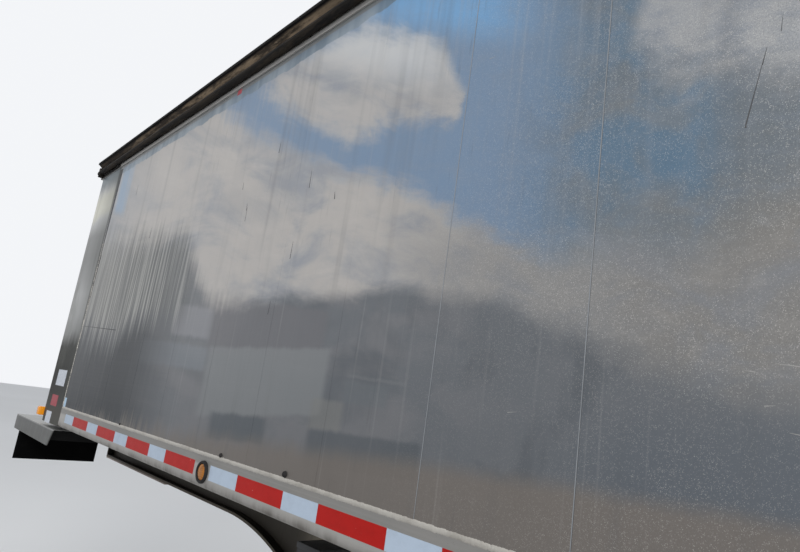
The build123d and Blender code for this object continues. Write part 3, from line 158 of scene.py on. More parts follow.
class Finish:
    """A material built from nodes on the piece's own Object coordinates."""

    def __init__(self, name):
        self.material = bpy.data.materials.new(name)
        self.material.use_nodes = True
        self.tree = self.material.node_tree
        self.tree.nodes.clear()
        self.place = self.node("ShaderNodeTexCoord", {}, {}, "Object")
        axes = self.node("ShaderNodeSeparateXYZ", {}, {0: self.place}, None)
        self.x, self.y, self.z = (Wire(self, axes.outputs[i]) for i in range(3))

    def node(self, kind, settings, values, output=0):
        """The wire from one output of a new node, or the node itself where the output is None."""
        sockets = {key: value.socket if isinstance(value, Wire) else value for key, value in values.items()}
        made = add_node(self.tree, kind, settings, sockets)
        return made if output is None else Wire(self, made.outputs[output])

    def mix(self, share, low, high):
        """Colour low where share is 0, high where it is 1."""
        return self.node(
            "ShaderNodeMix", {"data_type": "RGBA"}, {"Factor": share, 6: rgba(low), 7: rgba(high)}, 2
        )

    def math(self, operation, first, second=0.0):
        return self.node("ShaderNodeMath", {"operation": operation}, {0: first, 1: second})

    def joined(self, x, y, z):
        """A vector of three values."""
        return self.node("ShaderNodeCombineXYZ", {}, {"X": x, "Y": y, "Z": z})

    def curve(self, value, stops):
        """A height that runs straight from stop to stop, each a (value, height)."""
        shades = [(place, (height, height, height, 1.0)) for place, height in stops]
        return self.node("ShaderNodeValToRGB", {"stops": shades}, {"Fac": value})

    def stretched(self, stretch):
        return self.node("ShaderNodeMapping", {}, {"Vector": self.place, "Scale": stretch})

    def noise(self, stretch, detail=3.0, roughness=0.55, warp=0.0, vector=None):
        """Noise from 0 to 1, with so many features a metre along each axis, or along a vector."""
        source = vector or self.stretched(stretch)
        return self.node(
            "ShaderNodeTexNoise",
            {},
            {"Vector": source, "Scale": 1.0, "Detail": detail, "Roughness": roughness, "Distortion": warp},
        )

    def cells(self, stretch, randomness=1.0):
        """Distance to the nearest of scattered points, so many a metre along each axis."""
        return self.node(
            "ShaderNodeTexVoronoi",
            {},
            {"Vector": self.stretched(stretch), "Scale": 1.0, "Randomness": randomness},
            "Distance",
        )

    def waves(self, way, scale):
        """Even waves from 0 to 1 that follow one another along an axis."""
        return self.node(
            "ShaderNodeTexWave",
            {"bands_direction": way},
            {"Vector": self.stretched((1, 1, 1)), "Scale": scale},
        )

    def bump(self, height, strength, distance):
        return self.node(
            "ShaderNodeBump", {}, {"Height": height, "Strength": strength, "Distance": distance}
        )

    def done(self, base, rough, metal=0.0, normal=None, **fixed):
        """Principled shader; fixed holds sockets with one value all over."""
        values = {"Base Color": rgba(base), "Roughness": rough, "Metallic": metal}
        if normal is not None:
            values["Normal"] = normal
        for key, value in fixed.items():
            values[key.replace("_", " ")] = value
        shader = self.node("ShaderNodeBsdfPrincipled", {}, values)
        self.node("ShaderNodeOutputMaterial", {}, {"Surface": shader}, None)
        return self.material


def rgba(color):
    """A wire as it is, or three numbers with alpha."""
    return color if isinstance(color, Wire) else (*color, 1.0)


# Finishes

# Tones of the painted reflection of sky, clouds, treeline and ground in the polished skin
CREAM = (0.46, 0.435, 0.41)
CREAM_LIT = (0.56, 0.53, 0.49)
BEIGE = (0.245, 0.232, 0.212)
BEIGE_HIGH = (0.33, 0.325, 0.315)
SILVER = (0.40, 0.405, 0.41)
SILVER_LIT = (0.60, 0.605, 0.60)
PALE = (0.215, 0.21, 0.215)
SMOKE = (0.26, 0.27, 0.29)
STONE = (0.255, 0.25, 0.245)
BLUE = (0.195, 0.275, 0.385)
BLUE_LIT = (0.30, 0.33, 0.37)
HAZE = (0.128, 0.200, 0.275)
CLEAR = (0.185, 0.37, 0.60)
SLATE = (0.158, 0.168, 0.180)
SLATE_DEEP = (0.098, 0.108, 0.120)
NIGHT = (0.024, 0.028, 0.033)
REFLECTED_GROUND = (0.212, 0.186, 0.163)

# Those tones of painted reflection run in bands, told by the turn along the wall and by the rise over its
# middle height, seen from the camera's place: band edges as (turn, rise), turn 0.5 at the sheen's middle
sheen_x, sheen_z = 0.065, 1.85
dark_edge = [
    (0.05, 0.22), (0.12, 0.18), (0.20, 0.23), (0.30, 0.17), (0.40, 0.20), (0.50, 0.12), (0.569, 0.104),
    (0.607, 0.110), (0.642, 0.152), (0.682, 0.193), (0.717, 0.222), (0.768, 0.220), (0.805, 0.192),
    (0.841, 0.158), (0.868, 0.144), (0.880, 0.203), (0.886, 0.245), (0.918, 0.206), (0.960, 0.20),
]
low_bank_edge = [
    (0.08, 0.36), (0.20, 0.42), (0.30, 0.33), (0.40, 0.40), (0.50, 0.38), (0.570, 0.42), (0.627, 0.319),
    (0.646, 0.335), (0.685, 0.320), (0.711, 0.332), (0.730, 0.357), (0.751, 0.388), (0.776, 0.421),
    (0.827, 0.419), (0.840, 0.434), (0.866, 0.451), (0.884, 0.50), (0.920, 0.60),
]
high_bank_low_edge = [
    (0.08, 0.62), (0.25, 0.58), (0.36, 0.66), (0.50, 0.64), (0.570, 0.615), (0.612, 0.652), (0.638, 0.676),
    (0.655, 0.760), (0.740, 0.700), (0.748, 0.540), (0.762, 0.547), (0.782, 0.541), (0.809, 0.498),
    (0.834, 0.504), (0.850, 0.520), (0.868, 0.560),
]
high_bank_top_edge = [
    (0.08, 0.75), (0.25, 0.84), (0.36, 0.80), (0.50, 0.95), (0.60, 0.98), (0.638, 0.900), (0.655, 0.700),
    (0.742, 0.600), (0.750, 0.640), (0.762, 0.710), (0.790, 0.721), (0.812, 0.727), (0.846, 0.626),
    (0.868, 0.540),
]

# Flat shapes painted as a reflection in the sheet's low dark band: turns, rises, lean, share and tone
mirrored_blocks = [
    ((0.805, 0.865), (0.06, 0.16), 0, 0.70, (0.165, 0.163, 0.172)),
    ((0.801, 0.863), (-0.029, 0.084), -0.45, 0.85, (0.225, 0.235, 0.240)),
    ((0.865, 0.883), (0.080, 0.130), 0, 0.75, (0.270, 0.272, 0.288)),
    ((0.864, 0.896), (0.028, 0.066), 0, 0.65, (0.215, 0.235, 0.255)),
    ((0.828, 0.856), (-0.076, -0.033), 0, 0.80, (0.100, 0.115, 0.128)),
    ((0.789, 0.806), (-0.038, 0.011), 0, 0.65, (0.220, 0.220, 0.210)),
    ((0.766, 0.790), (0.010, 0.048), 0, 0.60, (0.155, 0.170, 0.182)),
    ((0.757, 0.789), (0.0555, 0.0565), 0, 0.70, (0.26, 0.265, 0.265)),
    ((0.745, 0.805), (-0.100, -0.040), 0, 0.70, (0.105, 0.118, 0.130)),
]
lean_turn = 0.83

# Painted reflection down the corner plate: its tones from the rail at 0 to the top of the wall at 1
post_reflection_tones = [
    (0.0, 0.050), (0.15, 0.025), (0.245, 0.045), (0.30, 0.40), (0.37, 0.54), (0.46, 0.57), (0.52, 0.44),
    (0.61, 0.36), (0.70, 0.38), (0.77, 0.64), (0.82, 0.84), (0.885, 0.66), (0.94, 0.40), (1.0, 0.42),
]

# Calmer tones for the bulkhead, the rear posts and the tarp's end caps: a gentler painted reflection, darker
# low down
bulkhead_tones = [
    (0.0, 0.120), (0.20, 0.105), (0.38, 0.24), (0.58, 0.27), (0.70, 0.25), (0.80, 0.42), (0.90, 0.38),
    (1.0, 0.28),
]

# Tone of the bottom rails
RAIL_TONE = (0.425, 0.41, 0.385)


class SheetMap:
    """Wires that lay out the painted reflection on the polished skin: the place on it as turn and rise about
    the sheen's middle, and the noises that its tones share.
    """

    def __init__(self, f):
        self.f = f
        along = f.x - sheen_x
        self.turn = f.math("ARCTANGENT", along) / pi + 0.5
        self.rise = (f.z - sheen_z) / (1 + along * along) ** 0.5
        self.near = self.turn.soft(0.735, 0.64)
        self.far = self.turn.soft(0.84, 0.91)
        self.streaks = f.noise((46.0, 46.0, 0.8), 3, 0.65)
        self.broad = f.noise((9.0, 9.0, 0.5), 3, 0.6)
        self.smear = f.noise((21.0, 21.0, 2.0), 4, 0.6)
        ragged = (self.smear - 0.5) * (0.014 + self.far * 0.060) + (self.streaks - 0.5) * self.far * 0.095
        self.level = self.rise + ragged
        self.puffs = f.noise(None, 5, 0.62, 0.5, vector=f.joined(self.turn * 26, self.rise * 11, 0.0))
        self.wisps = f.noise(None, 4, 0.6, 0.3, vector=f.joined(self.turn * 60, self.rise * 34, 4.0))
        self.patches = f.noise(None, 3, 0.55, 0.4, vector=f.joined(self.turn * 21, self.rise * 4.4, 9.0))
        self.edge = (self.puffs - 0.5) * 0.15 + (self.wisps - 0.5) * 0.07
        self.blur = 0.021 + self.near * 0.030 + self.far * 0.020

    def over(self, stops, amount, spread=1.0):
        """1 above the band edge that the stops draw, 0 below it, as blurred as the sheet is there."""
        height = self.level - self.f.curve(self.turn, stops) + self.edge * amount
        return height.soft(self.blur * (-spread), self.blur * spread)

    def block(self, turns, rises, lean):
        """1 inside a stretch of turn and rise, with soft edges; it leans about the lean turn."""
        soft_turn, soft_rise = 0.002, 0.005
        if lean:
            slope = (self.turn - lean_turn) * lean
            rises = [slope + rise for rise in rises]
        across = self.turn.soft(turns[0] - soft_turn, turns[0] + soft_turn)
        across = across * self.turn.soft(turns[1] + soft_turn, turns[1] - soft_turn)
        height = self.rise + (self.smear - 0.5) * 0.010
        over_low = height.soft(rises[0] - soft_rise, rises[0] + soft_rise)
        return across * over_low * height.soft(rises[1] + soft_rise, rises[1] - soft_rise)


def cloud_reflection_tone(m):
    """Painted reflection of sunlit cloud banks: cream ahead, beige towards the rear, silver high up, with
    blue-grey hollows.
    """
    f, turn, rise = m.f, m.turn, m.rise
    warm = turn.soft(0.66, 0.80)
    hollow = [0.5 * c + 0.5 * g for c, g in zip(BLUE, PALE)]
    tone = f.mix(warm.most(rise.soft(0.45, 0.55) * turn.soft(0.70, 0.74)), BEIGE_HIGH, CREAM)
    tone = f.mix(turn.soft(0.68, 0.62), tone, BEIGE)
    tone = f.mix(rise.soft(0.45, 0.62) * (1 - warm), tone, SILVER)
    tone = f.mix(m.puffs.soft(0.58, 0.30) * 0.60, tone, hollow)
    tone = f.mix(m.patches.soft(0.54, 0.70) * 0.32, tone, SMOKE)
    tone = f.mix(m.wisps.soft(0.45, 0.75) * 0.24, tone, CREAM_LIT)
    return f.mix(turn.soft(0.80, 0.73) * rise.soft(0.42, 0.28) * 0.55, tone, STONE)


def sky_reflection_tone(m):
    """Painted reflection of blue sky between the cloud banks: clearest high up ahead, hazy and grey towards
    the rear.
    """
    f, turn = m.f, m.turn
    tone = f.mix(turn.soft(0.655, 0.725), HAZE, BLUE)
    tone = f.mix(turn.soft(0.622, 0.590) * 0.75, tone, (0.190, 0.195, 0.195))
    tone = f.mix(m.rise.soft(0.70, 0.785) * turn.soft(0.69, 0.75), tone, CLEAR)
    tone = f.mix(m.patches.soft(0.42, 0.62) * m.near * 0.75, tone, (0.185, 0.195, 0.20))
    tone = f.mix(m.puffs.soft(0.45, 0.70) * 0.45 * m.near, tone, BEIGE)
    tone = f.mix(m.wisps.soft(0.40, 0.75) * 0.22, tone, (0.25, 0.29, 0.345))
    return f.mix(m.streaks.soft(0.44, 0.70) * 0.16, tone, BLUE_LIT)


def low_reflection_tone(m):
    """Painted reflection of the dark treeline under the cloud banks, with painted reflections of flat shapes
    in it, painted shade low down, and upright streaks over painted shade beside the corner plate.
    """
    f, turn, level = m.f, m.turn, m.level
    calm = 0.25 + turn.soft(0.70, 0.77) * 0.75
    tone = f.mix(m.puffs.soft(0.40, 0.62) * 0.50 * calm, SLATE, (0.225, 0.22, 0.225))
    tone = f.mix(m.patches.soft(0.52, 0.66) * 0.45, tone, SLATE_DEEP)
    for turns, rises, lean, share, block_tone in mirrored_blocks:
        tone = f.mix(m.block(turns, rises, lean) * share, tone, block_tone)
    low_shade = turn.soft(0.70, 0.62) * level.soft(0.12, -0.02)
    tone = f.mix(low_shade * 0.5, tone, (0.115, 0.135, 0.160))
    # Beside the corner plate: upright streaks over painted shade, and near-black painted shade at their foot
    shaded = f.mix(turn.soft(0.902, 0.917), (0.098, 0.102, 0.100), (0.17, 0.168, 0.160))
    streaked = f.mix(m.streaks.soft(0.42, 0.62), shaded, (0.35, 0.345, 0.325))
    foot = level + turn.soft(0.895, 0.912) * 0.042
    tone = f.mix(m.far * turn.soft(0.872, 0.884) * foot.soft(0.065, 0.130), tone, streaked)
    return f.mix(turn.soft(0.872, 0.905) * foot.soft(0.135, 0.060), tone, NIGHT)


def weathering_and_painted_light(m, base):
    """Painted reflection of the ground low down, worn streaks, drips, a painted shadow band under the top
    rail and the greyer lip right under it.
    """
    f, turn = m.f, m.turn
    # Painted reflection of the ground low down
    base = f.mix((m.level + m.edge * 0.12).soft(-0.052, -0.092) * 0.85, base, REFLECTED_GROUND)
    base = f.mix(m.streaks.soft(0.56, 0.80) * 0.13, base, (0.64, 0.62, 0.60))
    base = f.mix(m.broad.soft(0.46, 0.24) * 0.30, base, (0.12, 0.125, 0.13))
    drips = f.noise((75.0, 75.0, 6.0), 3).soft(0.60, 0.72) * f.noise((3.5, 3.5, 3.5), 3).soft(0.48, 0.62)
    base = f.mix(drips * 0.22 * turn.soft(0.66, 0.76), base, (0.095, 0.10, 0.105))
    # Painted shadow band with a wavy edge under the top rail
    rail_shadow_wave = (f.noise((9.0, 9.0, 1.0), 4) - 0.5) * 0.050
    lip = (f.z + rail_shadow_wave).soft(wall_top_z - 0.064, wall_top_z - 0.060)
    rail_shadow_tone = f.mix(m.broad.soft(0.35, 0.65), (0.15, 0.20, 0.245), (0.27, 0.32, 0.36))
    base = f.mix(lip * 0.85, base, rail_shadow_tone)
    return f.mix(f.z.soft(wall_top_z - 0.022, wall_top_z - 0.018) * 0.75, base, (0.23, 0.225, 0.215))


def polished_sheet():
    """Polished aluminium sheet with a painted reflection of sky, clouds, treeline and buildings in bands,
    upright streaks, painted glints and fine dark pits.
    """
    f = Finish("polished_sheet")
    m = SheetMap(f)
    turn, rise = m.turn, m.rise
    # Painted reflection: cloud banks over the dark band, blue sky above the low bank's edge
    bank = cloud_reflection_tone(m)
    above_dark = m.over(dark_edge, 0.28)
    base = f.mix(above_dark, low_reflection_tone(m), bank)
    base = f.mix(m.over(low_bank_edge, 0.80, 1.3), base, sky_reflection_tone(m))
    # A narrow upright slit of painted blue sky reflection near the front
    sky_slit_reflection = turn.soft(0.9165, 0.9185) * turn.soft(0.9225, 0.9212) * rise.soft(0.245, 0.262)
    base = f.mix(sky_slit_reflection * m.streaks.soft(0.30, 0.52) * 0.6, base, (0.22, 0.36, 0.52))
    # A higher cloud bank of painted reflection, silver where painted as lit
    high = m.over(high_bank_low_edge, 0.75, 1.5) * (1 - m.over(high_bank_top_edge, 0.7, 1.5))
    lit = turn.soft(0.74, 0.78) * rise.soft(0.58, 0.68)
    base = f.mix(high * 0.94, base, f.mix(lit * 0.8, bank, SILVER_LIT))
    base = weathering_and_painted_light(m, base)
    lines = f.noise((1.2, 1.2, 260.0), 2, 0.5)
    crowd = 0.35 + f.noise((2.6, 2.6, 3.0), 4, 0.6).soft(0.25, 0.62) * 0.65
    crowd = crowd * (0.10 + turn.soft(0.79, 0.68) * 0.90) * (0.60 + above_dark * 0.40)
    # Bright specks: painted glints, most where the painted reflection is above the dark band and towards the
    # rear
    glints = f.cells((520.0, 520.0, 520.0)).soft(0.42, 0.14)
    glints = glints * f.noise((230.0, 230.0, 230.0), 1).soft(0.40, 0.62)
    base = f.mix(glints * crowd * 0.66, base, (0.80, 0.77, 0.72))
    pits = f.noise((420.0, 420.0, 380.0), 2).soft(0.44, 0.66)
    base = f.mix(pits * crowd * 0.26, base, (0.085, 0.085, 0.085))
    rough = 0.30 + m.streaks * 0.14 + crowd * 0.10 + lines * 0.05
    bumps = f.bump(m.streaks * 0.5 + m.smear * 0.7 + glints * crowd * 0.5, 0.10, 0.004)
    return f.done(base, rough, 0.86, bumps)


def corner_sheet(name, tones, edge_tint):
    """Brushed plate: grey runs and smudges over tones of painted reflection up its height, with painted
    highlight, painted shade and painted glints; dimmed at a slant by the edge tint.
    """
    f = Finish(name)
    streaks = f.noise((60.0, 60.0, 1.1), 4, 0.65)
    runs = f.noise((13.0, 13.0, 1.0), 4, 0.6)
    cloud = f.noise((2.2, 2.2, 1.7), 4, 0.6, 0.3)
    share = (f.z - rail_top_z + (cloud - 0.5) * 0.16 + (runs - 0.5) * 0.10) / (wall_top_z - rail_top_z)
    base = f.curve(share, tones)
    # Painted highlight band high up, then painted bluish shade under the top rail
    base = f.mix(share.soft(0.76, 0.81) * share.soft(0.92, 0.86) * 0.5, base, (0.80, 0.77, 0.60))
    base = f.mix(f.z.soft(wall_top_z - 0.143, wall_top_z - 0.023) * 0.5, base, (0.20, 0.27, 0.32))
    # Painted shade towards the wall, and a painted shadow line at the joint's upper part
    base = f.mix(f.x.soft(bed_front_x - 0.10, wall_front_x + 0.03) * 0.34, base, (0.075, 0.080, 0.078))
    seam = f.x.soft(wall_front_x + 0.042, wall_front_x + 0.014) * f.z.soft(1.98, 2.25)
    base = f.mix(seam * 0.65, base, (0.045, 0.048, 0.045))
    base = f.mix(cloud.soft(0.52, 0.68) * 0.35, base, (0.17, 0.175, 0.16))
    base = f.mix(runs.soft(0.52, 0.74) * 0.40, base, (0.085, 0.09, 0.085))
    base = f.mix(streaks.soft(0.55, 0.80) * 0.22, base, (0.42, 0.41, 0.38))
    base = f.mix(f.z.soft(rail_top_z + 0.102, rail_top_z - 0.058) * 0.35, base, (0.19, 0.175, 0.15))
    # Bright specks: painted glints
    specks = f.cells((210.0, 210.0, 210.0)).soft(0.22, 0.08) * cloud.soft(0.40, 0.65)
    base = f.mix(specks * 0.4, base, (0.80, 0.78, 0.72))
    rough = 0.30 + streaks * 0.16 + cloud * 0.08
    bumps = f.bump(streaks + runs, 0.12, 0.003)
    return f.done(base, rough, 0.80, bumps, Specular_Tint=(*edge_tint, 1.0))


def dull_extrusion(name, tone, grime_and_shade, low=1.35, high=1.75, washing=0.55, own_marks=None):
    """Matt aluminium with fine draw lines, darkened from high down to low (grime, painted shade on the deck's
    skirt); own_marks adds a part's own.
    """
    f = Finish(name)
    cloud = f.noise((2.4, 2.4, 7.0), 4, 0.6)
    lines = f.noise((0.8, 160.0, 160.0), 2, 0.5)
    base = f.mix(cloud.soft(0.30, 0.75) * 0.45, tone, [c * 0.66 for c in tone])
    base = f.mix(lines.soft(0.45, 0.80) * 0.25, base, [min(1, c * 1.35) for c in tone])
    washed = f.noise((16.0, 16.0, 2.5), 3, 0.6)
    base = f.mix(f.z.soft(high, low) * (0.9 - washing + washed.soft(0.35, 0.75) * washing), base, grime_and_shade)
    if own_marks:
        base = own_marks(f, base)
    spots = f.cells((120.0, 120.0, 120.0)).soft(0.20, 0.08) * f.noise((20.0, 20.0, 20.0), 2).soft(0.5, 0.7)
    base = f.mix(spots * 0.5, base, [c * 0.4 for c in tone])
    return f.done(base, 0.46 + cloud * 0.16, 0.55, f.bump(lines + cloud * 2, 0.12, 0.002))


def dark_face(f, base):
    """The rail's face is darker between the tape and the weld."""
    band = f.z.soft(rail_top_z - 0.040, rail_top_z - 0.026)
    band = band * f.z.soft(rail_top_z - 0.0004, rail_top_z - 0.0012)
    return f.mix(band * 0.50, base, [c * 0.30 for c in RAIL_TONE])


def shade_inside_deck(f, base):
    """Painted shade: the deck is near black inside its skirts and under its top."""
    front_skin, side_skin, top_skin = 0.0095, 0.006, 0.002
    inside = 1 - f.x.above(deck_high.x - front_skin)
    inside = inside * (1 - abs(f.y).above(deck_high.y - side_skin))
    inside = inside * (1 - f.z.above(deck_high.z - top_skin))
    return f.mix(inside, base, (0.004, 0.004, 0.004))


def beam_metal():
    """Webs of the main beams in beige aluminium, painted into deep shade towards the front; their flanges
    painted near black as shade, their edges as thin lighter lines of painted highlight.
    """
    f = Finish("beam_metal")
    cloud = f.noise((2.0, 2.0, 5.0), 4, 0.6)
    drips = f.noise((26.0, 26.0, 3.0), 3, 0.6)
    off_web = abs(abs(f.y) - beam_y)
    base = f.mix(cloud.soft(0.35, 0.70) * 0.6, (0.46, 0.405, 0.30), (0.30, 0.25, 0.18))
    base = f.mix(drips.soft(0.50, 0.72) * 0.5, base, (0.17, 0.13, 0.095))
    base = f.mix(f.z.soft(1.30, 0.85) * 0.45, base, (0.20, 0.165, 0.125))
    # Flanges painted near black as shade
    black = f.mix(cloud.soft(0.40, 0.70) * 0.5, (0.020, 0.017, 0.014), (0.050, 0.041, 0.031))
    # Painted deep shade over the beam towards the front
    base = f.mix(f.x.soft(2.00, 2.55) * 0.94, base, (0.014, 0.011, 0.009))
    base = f.mix(off_web.soft(web_half, web_half + 0.005), base, black)
    # Flange edges as thin lighter lines of painted highlight, turning dark with painted shade towards the
    # front
    edge = f.mix(f.x.soft(1.9, 2.5), (0.26, 0.225, 0.165), (0.085, 0.070, 0.050))
    base = f.mix(off_web.soft(0.0520, 0.0535) * 0.8, base, edge)
    return f.done(base, 0.50 + cloud * 0.2, 0.35, f.bump(cloud + drips, 0.12, 0.002), Specular_IOR_Level=0.3)


def road_paint(name, tone, dust=(0.24, 0.20, 0.16), shine=0.42, rust=0.4):
    """Painted steel with chips, rust at the chips and road dust where it is low."""
    f = Finish(name)
    cloud = f.noise((3.0, 3.0, 3.0), 5, 0.6)
    chips = f.noise((30.0, 30.0, 30.0), 5, 0.7).soft(0.66, 0.74)
    chips = chips * f.noise((4.0, 4.0, 4.0), 2).soft(0.42, 0.62)
    base = f.mix(cloud.soft(0.35, 0.70) * 0.35, tone, [c * 1.5 + 0.02 for c in tone])
    base = f.mix(chips * rust, base, (0.20, 0.075, 0.03))
    film = f.z.soft(1.45, 0.25) * 0.55 * f.noise((7.0, 7.0, 7.0), 4, 0.6).soft(0.25, 0.80)
    base = f.mix(film, base, dust)
    rough = shine + cloud * 0.18 + film * 0.3
    return f.done(base, rough, 0.0, f.bump(chips * -1 + cloud * 0.3, 0.25, 0.002), Specular_IOR_Level=0.4)


def bare_metal(name, tone, rough=0.32, film=(0.16, 0.12, 0.09), metal=0.95):
    """Worn bare or plated metal."""
    f = Finish(name)
    cloud = f.noise((9.0, 9.0, 9.0), 4, 0.6)
    fine = f.noise((150.0, 150.0, 18.0), 2)
    base = f.mix(cloud.soft(0.45, 0.72) * 0.5, tone, film)
    return f.done(base, rough + cloud * 0.25, metal, f.bump(fine, 0.08, 0.001))


def rubber(name, tone, dust=(0.16, 0.14, 0.115), top=1.1, fine=140.0, shine=0.3, patch=5.0):
    """Rubber with a fine grain, greyed in patches and dusty below the top height."""
    f = Finish(name)
    grain = f.noise((fine, fine, fine), 3, 0.6)
    cloud = f.noise((patch, patch, patch), 5, 0.65)
    base = f.mix(cloud.soft(0.35, 0.75) * 0.5, tone, [c * 1.7 for c in tone])
    film = cloud.soft(0.40, 0.85) * (0.03 + f.z.soft(top, 0.05) * 0.58)
    base = f.mix(film, base, dust)
    bumps = f.bump(grain + cloud, 0.20, 0.0015)
    return f.done(base, 0.72 + grain * 0.16, 0.0, bumps, Specular_IOR_Level=shine)


def woven_vinyl():
    """Black tarp vinyl: fine weave pressed into it, dusty, with brown blotches on its roll."""
    f = Finish("woven_vinyl")
    warp = f.waves("X", 110.0)
    weft = f.waves("Y", 110.0)
    dust = f.noise((1.4, 2.2, 2.2), 5, 0.62)
    smear = f.noise((1.0, 22.0, 22.0), 3, 0.6)
    base = f.mix(dust.soft(0.38, 0.78) * 0.55, (0.008, 0.0075, 0.0075), (0.042, 0.037, 0.032))
    base = f.mix(smear.soft(0.52, 0.80) * 0.22, base, (0.055, 0.047, 0.040))
    blotch = f.noise((4.0, 30.0, 30.0), 5, 0.7).soft(0.46, 0.62)
    on_roll = f.y.above(side_y) * f.z.soft(eave_low.z - 0.004, eave_low.z - 0.006)
    base = f.mix(on_roll * blotch * 0.8, base, (0.034, 0.027, 0.020))
    bumps = f.bump(warp * weft + dust, 0.20, 0.0008)
    return f.done(base, 0.55 + dust * 0.25, 0.0, bumps, Specular_IOR_Level=0.08)


def weathered_strip():
    """Eave strip gone brown in blotches, black at its front, with painted shade along its upper edge and in
    its groove.
    """
    f = Finish("weathered_strip")
    blotch = f.noise((5.0, 34.0, 34.0), 5, 0.7)
    scuff = f.noise((16.0, 70.0, 70.0), 3, 0.6)
    cloud = f.noise((0.9, 3.0, 3.0), 3, 0.6)
    base = f.mix(blotch.soft(0.38, 0.60), (0.30, 0.225, 0.150), (0.050, 0.039, 0.030))
    base = f.mix(cloud.soft(0.40, 0.65) * 0.5, base, (0.030, 0.024, 0.020))
    base = f.mix(scuff.soft(0.60, 0.76) * 0.6, base, (0.38, 0.30, 0.215))
    base = f.mix(f.x.soft(3.75, 4.15) * 0.85, base, (0.016, 0.013, 0.011))
    # Painted shade in the groove and along the upper edge
    groove_shade = f.z.soft(eave_low.z + 0.008, eave_low.z + 0.003)
    upper_edge_shade = f.z.soft(eave_high.z - 0.024, eave_high.z - 0.014)
    base = f.mix(groove_shade.most(upper_edge_shade), base, (0.007, 0.006, 0.006))
    bumps = f.bump(blotch + scuff, 0.25, 0.0015)
    return f.done(base, 0.62 + blotch * 0.2, 0.0, bumps, Specular_IOR_Level=0.1)


def weld_metal():
    """Bright ridged weld with soot in its valleys."""
    f = Finish("weld_metal")
    grain = f.noise((260.0, 260.0, 260.0), 3, 0.6)
    cloud = f.noise((12.0, 12.0, 12.0), 4, 0.6)
    base = f.mix(cloud.soft(0.40, 0.75) * 0.7, (0.50, 0.475, 0.43), (0.32, 0.295, 0.26))
    base = f.mix(grain.soft(0.56, 0.74) * 0.40, base, (0.66, 0.64, 0.59))
    return f.done(base, 0.42 + grain * 0.2, 0.6, f.bump(grain, 0.4, 0.001))


def tape(name, tone, shade, cell_tone):
    """Retroreflective tape: a cell net in the film, dust and small nicks."""
    f = Finish(name)
    net = f.cells((330.0, 330.0, 330.0), 0.25).soft(0.30, 0.42)
    cloud = f.noise((18.0, 18.0, 26.0), 4, 0.6)
    base = f.mix(cloud.soft(0.40, 0.80) * 0.55, tone, shade)
    base = f.mix(net * 0.16, base, cell_tone)
    nick = f.noise((95.0, 95.0, 95.0), 3, 0.7).soft(0.70, 0.76)
    base = f.mix(nick * 0.7, base, (0.55, 0.53, 0.50))
    return f.done(base, 0.30 + cloud * 0.15, 0.0, f.bump(net, 0.15, 0.0004), Specular_IOR_Level=0.12)


def lens(name, tone, deep, front=None):
    """Moulded lamp lens with fine flutes; lenses ahead of the bed have the front tone, painted brighter as if
    sunlit.
    """
    f = Finish(name)
    flutes = f.waves("Z", 42.0)
    cloud = f.noise((40.0, 40.0, 40.0), 3, 0.6)
    base = f.mix(cloud.soft(0.35, 0.75) * 0.5 + flutes * 0.25, tone, deep)
    base = f.mix(f.x.above(bed_front_x), base, front or tone)
    return f.done(base, 0.16 + cloud * 0.1, 0.0, f.bump(flutes, 0.5, 0.001), Specular_IOR_Level=0.25)


def bleached_label(name, tone):
    """Blank sticker, bleached and scuffed."""
    f = Finish(name)
    cloud = f.noise((45.0, 45.0, 60.0), 4, 0.65)
    base = f.mix(cloud.soft(0.35, 0.75) * 0.5, tone, [c * 0.68 for c in tone])
    return f.done(base, 0.45 + cloud * 0.2, 0.0, f.bump(cloud, 0.1, 0.0004))


def floor_finish():
    """Pale seamless studio floor."""
    f = Finish("studio_floor")
    cloud = f.noise((0.12, 0.12, 0.12), 3, 0.5)
    base = f.mix(cloud.soft(0.3, 0.7), (0.80, 0.795, 0.785), (0.77, 0.765, 0.755))
    return f.done(base, 0.75, 0.0)


def wheel_paint():
    """White wheel enamel with brake dust and rust at the edges; bare rusty iron on the drums."""
    f = Finish("wheel_paint")
    cloud = f.noise((7.0, 7.0, 7.0), 5, 0.65)
    fine = f.noise((60.0, 60.0, 60.0), 4, 0.7)
    base = f.mix(cloud.soft(0.42, 0.80) * 0.5, (0.60, 0.60, 0.585), (0.38, 0.345, 0.30))
    base = f.mix(fine.soft(0.62, 0.74) * cloud.soft(0.42, 0.60) * 0.8, base, (0.23, 0.10, 0.045))
    middle_x = sum(axle_places) / 2
    from_axle = abs(abs(f.x - middle_x) - abs(axle_places[0] - axle_places[1]) / 2)
    radius = (from_axle * from_axle + (f.z - axle_height) ** 2) ** 0.5
    iron = f.mix(cloud.soft(0.35, 0.70), (0.105, 0.085, 0.072), (0.165, 0.075, 0.038))
    on_drum = radius.soft(drum_radius + 0.001, drum_radius - 0.001)
    on_drum = on_drum * abs(f.y).soft(drum_outer_y + 0.001, drum_outer_y - 0.001)
    base = f.mix(on_drum, base, iron)
    dust = radius.soft(0.150, 0.112) * abs(f.y).above(0.85) * cloud.soft(0.30, 0.70)
    base = f.mix(dust * 0.6, base, (0.20, 0.165, 0.13))
    return f.done(base, 0.42 + cloud * 0.2, 0.0, f.bump(fine, 0.12, 0.001), Specular_IOR_Level=0.45)


def oiled_chrome():
    """Hard chrome rod with a brown oil film."""
    f = Finish("oiled_chrome")
    film = f.noise((9.0, 9.0, 2.0), 4, 0.6)
    base = f.mix(film.soft(0.45, 0.75) * 0.45, (0.62, 0.62, 0.63), (0.26, 0.21, 0.15))
    return f.done(base, 0.12 + film * 0.22, 0.95)


